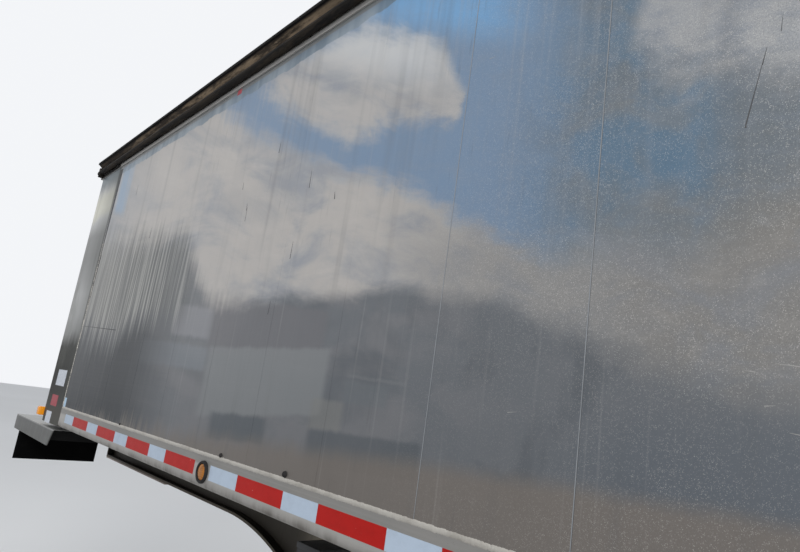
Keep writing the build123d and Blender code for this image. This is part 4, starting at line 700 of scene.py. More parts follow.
SHEET = polished_sheet()
CORNER = corner_sheet("corner_sheet", post_reflection_tones, (0.55, 0.55, 0.53))
BULKHEAD = corner_sheet("bulkhead_sheet", bulkhead_tones, (0.85, 0.85, 0.85))
EXTRUSION = dull_extrusion("dull_extrusion", (0.40, 0.39, 0.37), (0.265, 0.245, 0.22))
RAIL = dull_extrusion(
    "rail_extrusion", RAIL_TONE, (0.085, 0.072, 0.058), 1.508, 1.546, own_marks=dark_face
)
GATE_SHEET = dull_extrusion("gate_sheet", (0.33, 0.33, 0.325), (0.14, 0.125, 0.108), 1.35, 2.3)
FRAME_METAL = dull_extrusion("frame_aluminium", (0.285, 0.235, 0.20), (0.125, 0.088, 0.064), 0.9, 1.45)
BEAM_METAL = beam_metal()
# The deck's skirt is darkened below its top edge as painted shade, and it is painted near black inside
DECK_METAL = dull_extrusion(
    "deck_sheet", (0.40, 0.40, 0.385), (0.088, 0.088, 0.084), 1.462, 1.475, 0.12, shade_inside_deck
)
BLACK = road_paint("black_paint", (0.022, 0.022, 0.024))
TANK = road_paint("tank_paint", (0.030, 0.031, 0.035), shine=0.32)
GUARD = road_paint("guard_paint", (0.026, 0.026, 0.028), rust=0.7)
WHEEL = wheel_paint()
STEEL = bare_metal("bare_steel", (0.40, 0.39, 0.38))
ZINC = bare_metal("zinc_plate", (0.37, 0.37, 0.36), 0.42, (0.24, 0.225, 0.20))
CAST = bare_metal("cast_aluminium", (0.42, 0.42, 0.42), 0.5, (0.28, 0.27, 0.26))
HOIST_PAINT = road_paint("hoist_paint", (0.028, 0.028, 0.030), shine=0.35)
CHROME = oiled_chrome()
TYRE = rubber("tyre_rubber", (0.026, 0.026, 0.027), (0.115, 0.105, 0.092), patch=13.0)
FLAP = rubber("flap_rubber", (0.0018, 0.0018, 0.0019), (0.10, 0.09, 0.075), 0.9, 90.0, 0.05)
SEAL = rubber("seal_rubber", (0.014, 0.013, 0.013), top=0.4)
VINYL = woven_vinyl()
STRIP = weathered_strip()
WELD = weld_metal()
RED_TAPE = tape("red_tape", (0.40, 0.007, 0.005), (0.28, 0.006, 0.004), (0.52, 0.03, 0.02))
WHITE_TAPE = tape("white_tape", (0.43, 0.51, 0.61), (0.33, 0.39, 0.47), (0.56, 0.63, 0.72))
# Seam ridges in a lighter tone than the sheet as painted highlight; the dark finish after it is painted
# shadow in gaps and also real scratches
SEAM = bare_metal("seam_ridge", (0.30, 0.315, 0.33), 0.5, (0.19, 0.205, 0.22), 0.6)
SHADE_AND_SCRATCH = bare_metal("seam_shadow_and_scratch", (0.085, 0.085, 0.088), 0.6, (0.13, 0.13, 0.13), 0.4)
# Amber lenses ahead of the bed take a brighter front tone, painted as if in sunlight
AMBER = lens("amber_lens", (0.42, 0.155, 0.018), (0.16, 0.050, 0.006), (0.95, 0.34, 0.015))
RED_LENS = lens("red_lens", (0.45, 0.012, 0.012), (0.18, 0.005, 0.006))
LABEL = bleached_label("bleached_label", (0.60, 0.63, 0.68))
RED_PATCH = bleached_label("red_patch", (0.36, 0.045, 0.060))
BLUE_PATCH = bleached_label("pale_blue_patch", (0.42, 0.58, 0.72))


def dress(finish, *names):
    """Gives CAD nodes a finish through their material slots."""
    for name in names:
        materials = nodes[name].data.materials
        materials.clear()
        materials.append(finish)


dress(SHEET, "side_wall_left", "side_wall_right")
dress(CORNER, "front_posts")
dress(BULKHEAD, "rear_posts", "front_bulkhead", "tarp_caps")
dress(GATE_SHEET, "tailgate")
dress(RAIL, "bottom_rails")
dress(EXTRUSION, "top_rails", "bed_floor", "bed_crossmembers", "bed_sills")
dress(EXTRUSION, "tarp_bows", "hoist_bracket", "tailgate_arms")
dress(STRIP, "tarp_eaves")
dress(BEAM_METAL, "main_beams")
dress(FRAME_METAL, "frame_crossmembers", "coupler_plate", "hoist_cradle", "flap_bars")
dress(FRAME_METAL, "hinge_blocks", "hinge_ears")
dress(DECK_METAL, "front_deck")
dress(BLACK, "landing_legs", "landing_brackets", "spring_hangers", "leaf_springs", "suspension_arms")
dress(BLACK, "axle_front", "axle_rear", "brake_chambers", "rear_lights")
dress(GUARD, "rear_guard")
dress(ZINC, "landing_crank", "tarp_crank")
dress(STEEL, "kingpin")
dress(TANK, "air_tanks")
dress(WHEEL, *[f"wheel_{axle}_{side}" for axle in axles for side in sides])
dress(HOIST_PAINT, "hoist_barrel")
dress(CHROME, *[f"hoist_stage_{stage}" for stage in range(1, 6)])
dress(CAST, "air_couplings")
dress(AMBER, "side_lamps")
dress(VINYL, "tarp_roll")


# Making pieces


def new_piece(name, mesh, finish, body, slot=None, smooth=True):
    """A finished mesh as a piece that rides on a body."""
    piece = bpy.data.objects.new(name, mesh)
    scene.collection.objects.link(piece)
    mesh.materials.clear()
    mesh.materials.append(finish)
    if smooth:
        mesh.shade_smooth()
        mesh.set_sharp_from_angle(angle=radians(32))
    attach(piece, body)
    return piece


def closed_mesh(name, work):
    """The mesh of a bmesh, with its doubles merged and its faces outwards."""
    bmesh.ops.remove_doubles(work, verts=work.verts, dist=1e-6)
    bmesh.ops.recalc_face_normals(work, faces=work.faces)
    mesh = bpy.data.meshes.new(name)
    work.to_mesh(mesh)
    work.free()
    return mesh


def from_bmesh(name, work, finish, body, slot=None, smooth=True):
    """Turns a bmesh into a piece."""
    return new_piece(name, closed_mesh(name, work), finish, body, slot, smooth)


def thicken(piece, thickness, offset=0.0):
    """Gives an open sheet its thickness."""
    skin = piece.modifiers.new("thickness", "SOLIDIFY")
    skin.thickness = thickness
    skin.offset = offset


def add_box(work, low, high, round_edge=0.0):
    """Box between two corners, its edges rounded by the size given."""
    made = bmesh.ops.create_cube(work, size=1.0)["verts"]
    middle = (Vector(low) + Vector(high)) / 2
    size = Vector(high) - Vector(low)
    for vert in made:
        vert.co = Vector([middle[i] + vert.co[i] * abs(size[i]) for i in range(3)])
    if round_edge:
        edges = list(dict.fromkeys(edge for vert in made for edge in vert.link_edges))
        bmesh.ops.bevel(
            work, geom=edges, offset=round_edge, segments=2, profile=0.6, affect="EDGES", clamp_overlap=True
        )


def add_lathe(work, profile, origin, axis, segments=48):
    """Closed ring of a profile of (along, radius) pairs, turned about an axis."""
    axis = Vector(axis).normalized()
    across = axis.orthogonal().normalized()
    other = axis.cross(across)
    rings = []
    for along, radius in profile:
        if radius <= 0:
            rings.append([work.verts.new(Vector(origin) + axis * along)])
            continue
        ring = []
        for step in range(segments):
            angle = 2 * pi * step / segments
            out = across * cos(angle) + other * sin(angle)
            ring.append(work.verts.new(Vector(origin) + axis * along + out * radius))
        rings.append(ring)
    for first, second in zip(rings, rings[1:]):
        for step in range(segments):
            ahead = (step + 1) % segments
            corners = [first[step % len(first)], first[ahead % len(first)]]
            corners += [second[ahead % len(second)], second[step % len(second)]]
            unique = list(dict.fromkeys(corners))
            if len(unique) > 2:
                work.faces.new(unique)


def add_bar(work, start, end, radius, segments=10):
    """Round bar with closed ends."""
    along = Vector(end) - Vector(start)
    add_lathe(work, [(0, 0), (0, radius), (along.length, radius), (along.length, 0)], start, along, segments)


def add_grid(work, rows):
    """Faces between neighbouring rows of vertices."""
    for first, second in zip(rows, rows[1:]):
        for corners in zip(first, second, second[1:], first[1:]):
            work.faces.new(corners)


def spread_tree():
    """Geometry nodes: a unit piece on every point, turned and sized by the points' attributes."""
    tree = bpy.data.node_groups.new("spread", "GeometryNodeTree")
    inputs = [
        ("Points", "Geometry"), ("Unit", "Object"), ("Size jitter", "Float"), ("Seed", "Int"),
        ("Finish", "Material"),
    ]
    for name, kind in inputs:
        tree.interface.new_socket(name, in_out="INPUT", socket_type=f"NodeSocket{kind}")
    tree.interface.new_socket("Pieces", in_out="OUTPUT", socket_type="NodeSocketGeometry")
    given = add_node(tree, "NodeGroupInput", {}, {}).outputs
    unit = add_node(tree, "GeometryNodeObjectInfo", {}, {"Object": given["Unit"]})
    turn, size = [
        add_node(tree, "GeometryNodeInputNamedAttribute", {"data_type": "FLOAT_VECTOR"}, {"Name": name})
        for name in ("turn", "size")
    ]
    least, most = [
        add_node(tree, "ShaderNodeMath", {"operation": operation}, {0: 1.0, 1: given["Size jitter"]})
        for operation in ("SUBTRACT", "ADD")
    ]
    chance = add_node(
        tree, "FunctionNodeRandomValue", {"data_type": "FLOAT"},
        {2: least.outputs[0], 3: most.outputs[0], "Seed": given["Seed"]},
    )
    scale = add_node(
        tree, "ShaderNodeVectorMath", {"operation": "SCALE"},
        {0: size.outputs["Attribute"], "Scale": chance.outputs[1]},
    )
    spots = {
        "Points": given["Points"],
        "Instance": unit.outputs["Geometry"],
        "Rotation": turn.outputs["Attribute"],
        "Scale": scale.outputs["Vector"],
    }
    place = add_node(tree, "GeometryNodeInstanceOnPoints", {}, spots)
    real = add_node(tree, "GeometryNodeRealizeInstances", {}, {0: place.outputs["Instances"]})
    cover = add_node(
        tree, "GeometryNodeSetMaterial", {}, {"Geometry": real.outputs[0], "Material": given["Finish"]}
    )
    add_node(tree, "NodeGroupOutput", {}, {0: cover.outputs[0]})
    return tree


SPREAD = spread_tree()


def spread(name, unit, spots, finish, body, slot=None, jitter=0.0, seed=1, smooth=True):
    """Copies of a unit mesh; each spot is (place, turn in radians, size)."""
    holder = bpy.data.objects.new(name + "_unit", unit)
    scene.collection.objects.link(holder)
    points = bpy.data.meshes.new(name + "_points")
    points.from_pydata([spot[0] for spot in spots], [], [])
    for key, index in (("turn", 1), ("size", 2)):
        layer = points.attributes.new(key, "FLOAT_VECTOR", "POINT")
        layer.data.foreach_set("vector", [value for spot in spots for value in spot[index]])
    maker = bpy.data.objects.new(name + "_maker", points)
    scene.collection.objects.link(maker)
    modifier = maker.modifiers.new("spread", "NODES")
    modifier.node_group = SPREAD
    settings = {"Unit": holder, "Size jitter": jitter, "Seed": seed, "Finish": finish}
    for item in SPREAD.interface.items_tree:
        if item.name in settings:
            modifier[item.identifier] = settings[item.name]
    bpy.context.view_layer.update()
    graph = bpy.context.evaluated_depsgraph_get()
    mesh = bpy.data.meshes.new_from_object(maker.evaluated_get(graph))
    mesh.name = name
    bpy.data.objects.remove(maker)
    bpy.data.objects.remove(holder)
    return new_piece(name, mesh, finish, body, slot, smooth)


def unit_mesh(name, build):
    """A mesh about the origin, made by a function that fills a bmesh."""
    work = bmesh.new()
    build(work)
    return closed_mesh(name, work)


def unit_block(round_edge=0.0):
    return unit_mesh("block", lambda work: add_box(work, (-0.5,) * 3, (0.5,) * 3, round_edge))


def unit_bead(work):
    """Flat dome, one unit across, on its side facing +Y."""
    rows = ((0.0, 0.5), (0.22, 0.42), (0.38, 0.22), (0.44, 0.0))
    add_lathe(work, rows, (0, 0, 0), (0, 1, 0), 8)


def unit_bolt(work):
    """Hexagon head on a washer with the thread's end, facing +Z, one unit across its corners."""
    add_lathe(work, [(0, 0), (0, 0.66), (0.09, 0.66), (0.09, 0)], (0, 0, 0), (0, 0, 1), 16)
    add_lathe(work, [(0.09, 0), (0.09, 0.5), (0.44, 0.5), (0.50, 0.42), (0.50, 0)], (0, 0, 0), (0, 0, 1), 6)
    add_lathe(work, [(0.50, 0), (0.50, 0.22), (0.66, 0.20), (0.66, 0)], (0, 0, 0), (0, 0, 1), 10)


def unit_rivet(work):
    """Round rivet head, facing +Z, one unit across."""
    add_lathe(work, [(0, 0.5), (0.16, 0.44), (0.28, 0.26), (0.32, 0)], (0, 0, 0), (0, 0, 1), 10)


BOLT = unit_mesh("bolt", unit_bolt)
RIVET = unit_mesh("rivet", unit_rivet)
LEFT, RIGHT = 1, -1
BOTH = (LEFT, RIGHT)
UNTURNED = (0, 0, 0)
BEAD_OUT = {LEFT: UNTURNED, RIGHT: (0, 0, pi)}
FACE_OUT = {LEFT: (-pi / 2, 0, 0), RIGHT: (pi / 2, 0, 0)}
FACE_FRONT = (0, pi / 2, 0)
FACE_BACK = (0, -pi / 2, 0)
FACE_UP = UNTURNED
FACE_DOWN = (pi, 0, 0)


def one_size(places, turn, size):
    """Spots for heads of one size that all face one way."""
    return [(place, turn, (size,) * 3) for place in places]


# Reflective tape along the bottom rails

tape_low_z, tape_high_z = 1.540, 1.5908
tape_height = tape_high_z - tape_low_z
tape_joint = 0.0012
red_length, white_length = 0.2794, 0.1778
tape_period = red_length + white_length
tape_front_x = 4.0028
red_starts_ahead = [3.825, 3.368, 2.911, 2.453]
red_start_behind = 1.845
lamp_places = [2.095, bed_rear_x + 0.260]
lamp_z = 1.560
lamp_keep = 0.05

red_blocks = [(start - red_length, start) for start in red_starts_ahead]
white_blocks = [(red_starts_ahead[0], tape_front_x)]
for ahead, behind in zip(red_blocks, red_blocks[1:]):
    white_blocks.append((behind[1], ahead[0]))
white_blocks.append((red_start_behind, lamp_places[0] - lamp_keep))
start = red_start_behind
while start - tape_period > lamp_places[1] + lamp_keep:
    red_blocks.append((start - red_length, start))
    white_blocks.append((start - tape_period, start - red_length))
    start -= tape_period


def tape_spots(blocks):
    """Thin blocks on the faces of both rails, each between two places along them."""
    spots = []
    for low, high in blocks:
        for side in BOTH:
            middle = ((low + high) / 2, side * (side_y + SKIN / 2), (tape_low_z + tape_high_z) / 2)
            spots.append((middle, UNTURNED, (high - low - tape_joint, SKIN, tape_height)))
    return spots


spread("tape_red", unit_block(), tape_spots(red_blocks), RED_TAPE, "bed", smooth=False)
spread("tape_white", unit_block(), tape_spots(white_blocks), WHITE_TAPE, "bed", smooth=False)


# Weld between rail and wall: one slanted bead after another

bead_pitch = 0.0086
bead_length, bead_height, bead_proud = 0.024, 0.0150, 0.0056
draw = Random(7)
for side, side_name in zip(BOTH, sides):
    spots = []
    for index in range(int((wall_front_x - wall_rear_x) / bead_pitch)):
        x = wall_rear_x + index * bead_pitch
        z = rail_top_z + 0.004 + draw.uniform(-0.0004, 0.0005)
        lean = side * draw.uniform(-0.3, 0.3)
        length = bead_length + draw.uniform(-0.005, 0.005)
        height = bead_height + draw.uniform(-0.0006, 0.0006)
        turn = (0, lean, BEAD_OUT[side][2])
        spots.append(((x, side * (side_y - 0.0006), z), turn, (length, bead_proud, height)))
    spread(f"rail_weld_{side_name}", unit_mesh("bead", unit_bead), spots, WELD, "bed", jitter=0.05, seed=3)


# Upright seams of the walls: flat folds ahead, ridges behind them in a lighter tone as painted highlight,
# most with a dark strip of painted shadow in the gap

seam_first_x, seam_pitch = 0.631, 0.394
ridge_end_x, gap_end_x = 1.2, 0.9
seam_places = []
x = seam_first_x - seam_pitch * int((seam_first_x - wall_rear_x) / seam_pitch)
while x < wall_front_x - 0.1:
    seam_places.append(x)
    x += seam_pitch
ridge_places = [place for place in seam_places if place < ridge_end_x]
fold_places = [place for place in seam_places if place > ridge_end_x]
gap_places = [place for place in seam_places if place < gap_end_x]


def seam_spots(places, shift, width, proud):
    """Upright strips of the wall's height, on both sides."""
    spots = []
    for place in places:
        for side in BOTH:
            middle = (place + shift, side * (side_y + proud / 2), (rail_top_z + wall_top_z) / 2 + 0.004)
            spots.append((middle, UNTURNED, (width, proud, wall_top_z - rail_top_z - 0.014)))
    return spots


ridge_spots = seam_spots(ridge_places, 0.0012, 0.0020, 0.0008)
fold_spots = seam_spots(fold_places, 0.0, 0.0040, 0.0003)
gap_spots = seam_spots(gap_places, -0.0001, 0.0006, 0.0002)
spread("wall_seam_ridges", unit_block(0.2), ridge_spots, SEAM, "bed")
spread("wall_seam_folds", unit_block(0.2), fold_spots, SHEET, "bed")
spread("wall_seam_gaps", unit_block(), gap_spots, SHADE_AND_SCRATCH, "bed", smooth=False)


# Strips laid on the walls, let in by the depth and as much proud of them

mark_depth = 0.0002


def mark(work, side, start, end, width):
    """Thin strip on a wall between two points given as (x, z), widening to the width given."""
    along = Vector((end[0] - start[0], 0, end[1] - start[1]))
    across = Vector((0, 1, 0)).cross(along).normalized() * width / 2
    low = Vector((start[0], side * (side_y - mark_depth), start[1]))
    lifted = Vector((0, side * 2 * mark_depth, 0))
    corners = [low - across * 0.3, low + across * 0.3, low + along + across, low + along - across]
    bottom = [work.verts.new(corner) for corner in corners]
    top = [work.verts.new(corner + lifted) for corner in corners]
    work.faces.new(bottom)
    work.faces.new(top)
    for index in range(4):
        ahead = (index + 1) % 4
        work.faces.new((bottom[index], bottom[ahead], top[ahead], top[index]))


# Joint of the corner plate with the wall: a bright stitch weld, a dark strip of painted shadow in the gap and
# a lighter strip of painted highlight on the edge

stitch_count, stitch_pitch = 74, 0.0142
stitch_size = (0.010, 0.008, 0.017)
joint_low_z = rail_top_z + 0.02
gap_shadow_path = [
    (wall_front_x - back, z)
    for back, z in ((0.004, joint_low_z), (0.006, 2.15), (0.020, 2.60), (0.022, wall_top_z - 0.02))
]
gap_shadow_widths = [0.010, 0.040, 0.050]
spots = []
seals = bmesh.new()
edges = bmesh.new()
for side in BOTH:
    for index in range(stitch_count):
        place = (wall_front_x - 0.009, side * (side_y - 0.0008), joint_low_z + index * stitch_pitch)
        spots.append((place, BEAD_OUT[side], stitch_size))
    # Strips of painted shadow in the gap, and a painted highlight strip on the plate's edge
    for start, end, width in zip(gap_shadow_path, gap_shadow_path[1:], gap_shadow_widths):
        mark(seals, side, start, end, width)
    mark(edges, side, (wall_front_x - 0.046, 2.66), (wall_front_x - 0.016, 2.05), 0.016)
spread("corner_weld", unit_mesh("bead", unit_bead), spots, WELD, "bed", jitter=0.3, seed=5)
from_bmesh("corner_seal", seals, SHADE_AND_SCRATCH, "bed", smooth=False)
from_bmesh("corner_edge", edges, EXTRUSION, "bed", smooth=False)


# Side lamps: a round lens in its grommet on the rails, a square lens at the bed's front corners

grommet = [
    (0, 0.0275), (0.004, 0.0290), (0.0085, 0.0300), (0.0110, 0.0330), (0.0105, 0.0365), (0.006, 0.0395),
    (0, 0.0400),
]
round_lens = [(0, 0.0282), (0.0065, 0.0276), (0.0085, 0.024), (0.0100, 0.015), (0.0105, 0.0)]
front_lens_x = (bed_front_x + 0.0005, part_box("side_lamps")[1].x + 0.012)
front_lens_y = (side_y - 0.048, side_y + 0.026)
front_lens_half = 0.028
rings = bmesh.new()
glasses = bmesh.new()
for lamp_x in lamp_places:
    for side in BOTH:
        origin = (lamp_x, side * side_y, lamp_z)
        add_lathe(rings, grommet, origin, (0, side, 0), 48)
        add_lathe(glasses, round_lens, origin, (0, side, 0), 48)
for side in BOTH:
    low, high = [
        (x, side * y, lamp_z + lift)
        for x, y, lift in zip(front_lens_x, front_lens_y, (-front_lens_half, front_lens_half))
    ]
    add_box(glasses, low, high, 0.010)
from_bmesh("lamp_grommets", rings, SEAL, "bed")
lamp_glass = from_bmesh("lamp_lenses", glasses, AMBER, "bed", "lamp_lens")
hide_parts("side_lamps")


# Blank stickers on the left side: name, x and z of the middle, width, height, finish

sticker_table = [
    ("post_label", 4.312, 1.795, 0.205, 0.102, LABEL),
    ("post_red_patch", 4.345, 1.648, 0.150, 0.070, RED_PATCH),
    ("post_white_patch", 4.400, 1.538, 0.130, 0.074, LABEL),
    ("wall_blue_patch", 4.085, 1.655, 0.045, 0.056, BLUE_PATCH),
    ("lip_red_patch", 2.475, 3.208, 0.040, 0.024, RED_PATCH),
]
for name, x, z, width, tall, finish in sticker_table:
    work = bmesh.new()
    add_box(work, (x - width / 2, side_y, z - tall / 2), (x + width / 2, side_y + SKIN, z + tall / 2))
    from_bmesh(name, work, finish, "bed", smooth=False)


# Marks on the left wall: dark scratches and runs, bright nicks, soot spots on the rail's weld

# A scratch as its start, its end and the width it widens to
scratches = [
    ((0.3362, 2.552), (0.3430, 2.520), 0.0020),
    ((0.3430, 2.522), (0.3660, 2.415), 0.0026),
    ((0.3660, 2.415), (0.3664, 2.409), 0.0036),
    ((0.3130, 2.606), (0.3155, 2.574), 0.0012),
    ((4.111, 2.133), (3.443, 2.098), 0.0050),
]
# A short run over the rail as its top's x and z and its length
runs = [
    (4.055, 1.668, 0.020), (4.035, 1.664, 0.026), (4.010, 1.666, 0.018), (3.985, 1.662, 0.024),
    (3.850, 1.668, 0.020), (3.790, 1.664, 0.016),
]
# A nick as its start and its end
nicks = [
    ((0.318, 2.006), (0.285, 2.002)), ((0.360, 1.994), (0.345, 1.992)), ((0.345, 1.690), (0.322, 1.688)),
    ((0.300, 1.905), (0.283, 1.903)), ((0.268, 2.245), (0.258, 2.252)), ((0.265, 2.172), (0.245, 2.175)),
]
# A soot spot as its x, z and radius
soot_spots = [(1.572, 1.638, 0.0105), (1.985, 1.634, 0.0085), (3.050, 1.630, 0.006)]

work = bmesh.new()
for start, end, width in scratches:
    mark(work, LEFT, start, end, width)
for x, z, tall in runs:
    mark(work, LEFT, (x, z), (x - 0.004, z - tall), 0.014)
draw = Random(23)
for index in range(11):
    x = draw.uniform(0.9, 3.9)
    z = draw.uniform(2.1, 3.05)
    tall = draw.uniform(0.025, 0.075)
    mark(work, LEFT, (x, z), (x + draw.uniform(-0.006, 0.006), z - tall), draw.uniform(0.0025, 0.0055))
from_bmesh("wall_scratches", work, SHADE_AND_SCRATCH, "bed", smooth=False)
work = bmesh.new()
for start, end in nicks:
    mark(work, LEFT, start, end, 0.0016)
for index in range(40):
    x = draw.uniform(-4.8, 1.1)
    z = draw.uniform(1.66, 3.05)
    end = (x + draw.uniform(0.004, 0.020), z + draw.uniform(-0.003, 0.003))
    mark(work, LEFT, (x, z), end, 0.0014)
from_bmesh("wall_nicks", work, EXTRUSION, "bed", smooth=False)
work = bmesh.new()
for x, z, size in soot_spots:
    dome = [(0, size), (size * 0.5, size * 0.8), (size * 0.8, size * 0.4), (size * 0.9, 0)]
    add_lathe(work, dome, (x, side_y, z), (0, 1, 0), 9)
from_bmesh("weld_soot_spots", work, SEAL, "bed")


# Tyres: ribbed tread with notched shoulders, bulged walls with fine rings

dual_center = 0.908
dual_half_gap = 0.170
tread_half = 0.098
crown_drop = 0.0035
groove_depth, groove_draft = 0.013, 0.0012
tread_grooves = [(-0.060, -0.052), (-0.022, -0.014), (0.014, 0.022), (0.052, 0.060)]
# The tyre's wall from shoulder to bead, as (across, how far below the tread)
tyre_wall = [
    (0.112, 0.012), (0.124, 0.038), (0.1275, 0.060), (0.1335, 0.090), (0.1372, 0.118), (0.1380, 0.128),
    (0.1368, 0.150), (0.1330, 0.172), (0.1345, 0.175), (0.1345, 0.180), (0.1300, 0.184), (0.1180, 0.205),
    (0.1080, 0.218), (0.1040, 0.228),
]
bead_across, bead_radius = 0.0998, 0.286
notch_count = 60
notch_across, notch_depth = 0.1045, 0.0115
notch_size = (0.034, 0.018, 0.020)


def tyre_crown(across):
    """Radius of the tread, which is a little lower towards its edges."""
    return tyre_radius - crown_drop * (across / tread_half) ** 2


def tyre_profile():
    """Section from bead to bead, as (across, radius)."""
    deep = tyre_radius - groove_depth
    tread = [(-tread_half, tyre_crown(-tread_half))]
    for low, high in tread_grooves:
        tread += [(low, tyre_crown(low)), (low + groove_draft, deep)]
        tread += [(high - groove_draft, deep), (high, tyre_crown(high))]
    tread.append((tread_half, tyre_crown(tread_half)))
    wall = [(across, tyre_radius - drop) for across, drop in tyre_wall] + [(bead_across, bead_radius)]
    profile = [(-across, radius) for across, radius in reversed(wall)] + tread + wall
    return profile + [profile[0]]


def wheel_sets():
    """For each wheel set the end of its names, its axle's place and its side."""
    for axle, axle_x in zip(axles, axle_places):
        for side, side_name in zip(BOTH, sides):
            yield f"{axle}_{side_name}", axle_x, side


for set_name, axle_x, side in wheel_sets():
    body = f"wheels_{set_name}"
    work = bmesh.new()
    spots = []
    for offset in (-dual_half_gap, dual_half_gap):
        center_y = side * dual_center + offset
        add_lathe(work, tyre_profile(), (axle_x, center_y, axle_height), (0, 1, 0), 96)
        for edge in BOTH:
            for step in range(notch_count):
                angle = 2 * pi * (step + 0.5 * (edge > 0)) / notch_count
                radius = tyre_radius - notch_depth
                x, z = axle_x + radius * cos(angle), axle_height + radius * sin(angle)
                spots.append(((x, center_y + edge * notch_across, z), (0, pi / 2 - angle, 0), notch_size))
    tyre = from_bmesh(f"tyre_pair_{set_name}", work, TYRE, body, "tyre_rubber")
    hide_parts(f"tyres_{set_name}")
    spread(f"tyre_shoulders_{set_name}", unit_block(0.08), spots, TYRE, body, "tyre_rubber")


# Tarp: one cover over bows and eaves, round the left eave, and its roll below the eave

tarp_low, tarp_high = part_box("tarp_cover")
roll_low, roll_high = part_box("tarp_roll")
tarp_half = tarp_high.y
tarp_ply = 0.005
tarp_lift = 0.004
bow_low, bow_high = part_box("tarp_bows")
bow_width = 0.038
bow_count = 6
bow_pitch = (bow_high.x - bow_low.x - bow_width) / (bow_count - 1)
bow_places = [bow_low.x + bow_width / 2 + bow_pitch * index for index in range(bow_count)]
crown_rise = tarp_high.z - tarp_ply - tarp_lift - tarp_low.z
crown_radius = (tarp_half**2 + crown_rise**2) / (2 * crown_rise)
# The cover's hem round the eave, as (outwards, upwards) from the end of its arc
hem_path = [(0.016, 0.0185), (0.0232, 0.0165), (0.0249, 0.0115), (0.0249, 0.003)]


def noise_at(x, y, z):
    return noise.noise(Vector((x, y, z)))


def crown_z(y):
    """Height of the cover's lower face over a bow."""
    return tarp_low.z + crown_rise - crown_radius + sqrt(crown_radius**2 - y * y)


def tarp_sag(x, y):
    """How far the vinyl hangs below its bows, with slack folds that run across."""
    supports = sorted([tarp_low.x, tarp_high.x] + bow_places)
    for first, second in zip(supports, supports[1:]):
        if first <= x <= second:
            break
    share = (x - first) / (second - first)
    belly = sin(pi * share) ** 1.2
    across = max(0.0, 1 - (abs(y) / tarp_half) ** 4)
    fold = noise_at(x * 5.5, y * 0.7, 3.0) * 0.0045 + noise_at(x * 1.6, y * 1.9, 8.0) * 0.006
    pull = noise_at(x * 3.0 + y * 2.2, y * 2.0, 5.0) * 0.003
    return across * (belly * (0.016 + fold * 1.4) + max(0.0, pull) * min(1.0, belly * 3))


def make_tarp():
    """The cover as a sheet with the vinyl's thickness, stretched over bows and eaves."""
    along_steps, across_steps = 300, 60
    work = bmesh.new()
    rows = []
    for i in range(along_steps + 1):
        x = tarp_low.x + (tarp_high.x - tarp_low.x) * i / along_steps
        row = []
        for j in range(across_steps + 1):
            y = -tarp_half + 2 * tarp_half * j / across_steps
            row.append(Vector((x, y, crown_z(y) + tarp_ply - tarp_sag(x, y))))
        row += [Vector((x, tarp_half + out, tarp_low.z + up)) for out, up in hem_path]
        rows.append([work.verts.new(place) for place in row])
    add_grid(work, rows)
    mesh = bpy.data.meshes.new("tarp_sheet")
    work.to_mesh(mesh)
    work.free()
    cover = new_piece("tarp_sheet", mesh, VINYL, "bed", "tarp_vinyl")
    thicken(cover, tarp_ply, -1.0)
    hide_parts("tarp_cover")
    roll = make_roll()


def make_roll():
    """Turns of vinyl on the tube: a spiral outline whose outer edge steps once around."""
    work = bmesh.new()
    center_y = (roll_low.y + roll_high.y) / 2
    center_z = (roll_low.z + roll_high.z) / 2
    outer = (roll_high.z - roll_low.z) / 2
    along_steps, around = 220, 22
    rings = []
    for i in range(along_steps + 1):
        x = roll_low.x + (roll_high.x - roll_low.x) * i / along_steps
        slack = 0.0008 * noise_at(x * 2.4, 0.3, 6.0)
        ring = []
        for j in range(around):
            share = j / (around - 1)
            angle = 2 * pi * share - 0.30
            dent = 0.0004 * abs(noise_at(x * 9, j, 2.0))
            radius = outer * (0.85 + 0.145 * share) + slack - dent
            ring.append(work.verts.new((x, center_y + radius * cos(angle), center_z + radius * sin(angle))))
        rings.append(ring)
    for first, second in zip(rings, rings[1:]):
        for j in range(around):
            ahead = (j + 1) % around
            work.faces.new((first[j], first[ahead], second[ahead], second[j]))
    for ring in (rings[0], rings[-1]):
        work.faces.new(ring)
    roll = from_bmesh("tarp_roll_turns", work, VINYL, "bed", "tarp_vinyl")
    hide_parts("tarp_roll")
    return roll


make_tarp()

# Black plates near the roll's ends, and a black strip on the top rail's lip over the corner plate
end_plates = [roll_high.x - 0.050, roll_low.x + 0.030]
lip_y, lip_low_z = top_rail_high.y, top_rail_low.z
work = bmesh.new()
for x in end_plates:
    low = (x, side_y + 0.002, lip_low_z + 0.003)
    add_box(work, low, (x + 0.020, roll_high.y - 0.002, eave_low.z + 0.001), 0.001)
strip_low = (wall_front_x + 0.012, lip_y - 0.0005, lip_low_z + 0.0005)
add_box(work, strip_low, (top_rail_high.x - 0.002, lip_y + 0.0015, roll_low.z))
from_bmesh("roll_end_tabs", work, VINYL, "bed", "tarp_vinyl")


# Rubber flaps, hung from their bars: slightly bowed sheets


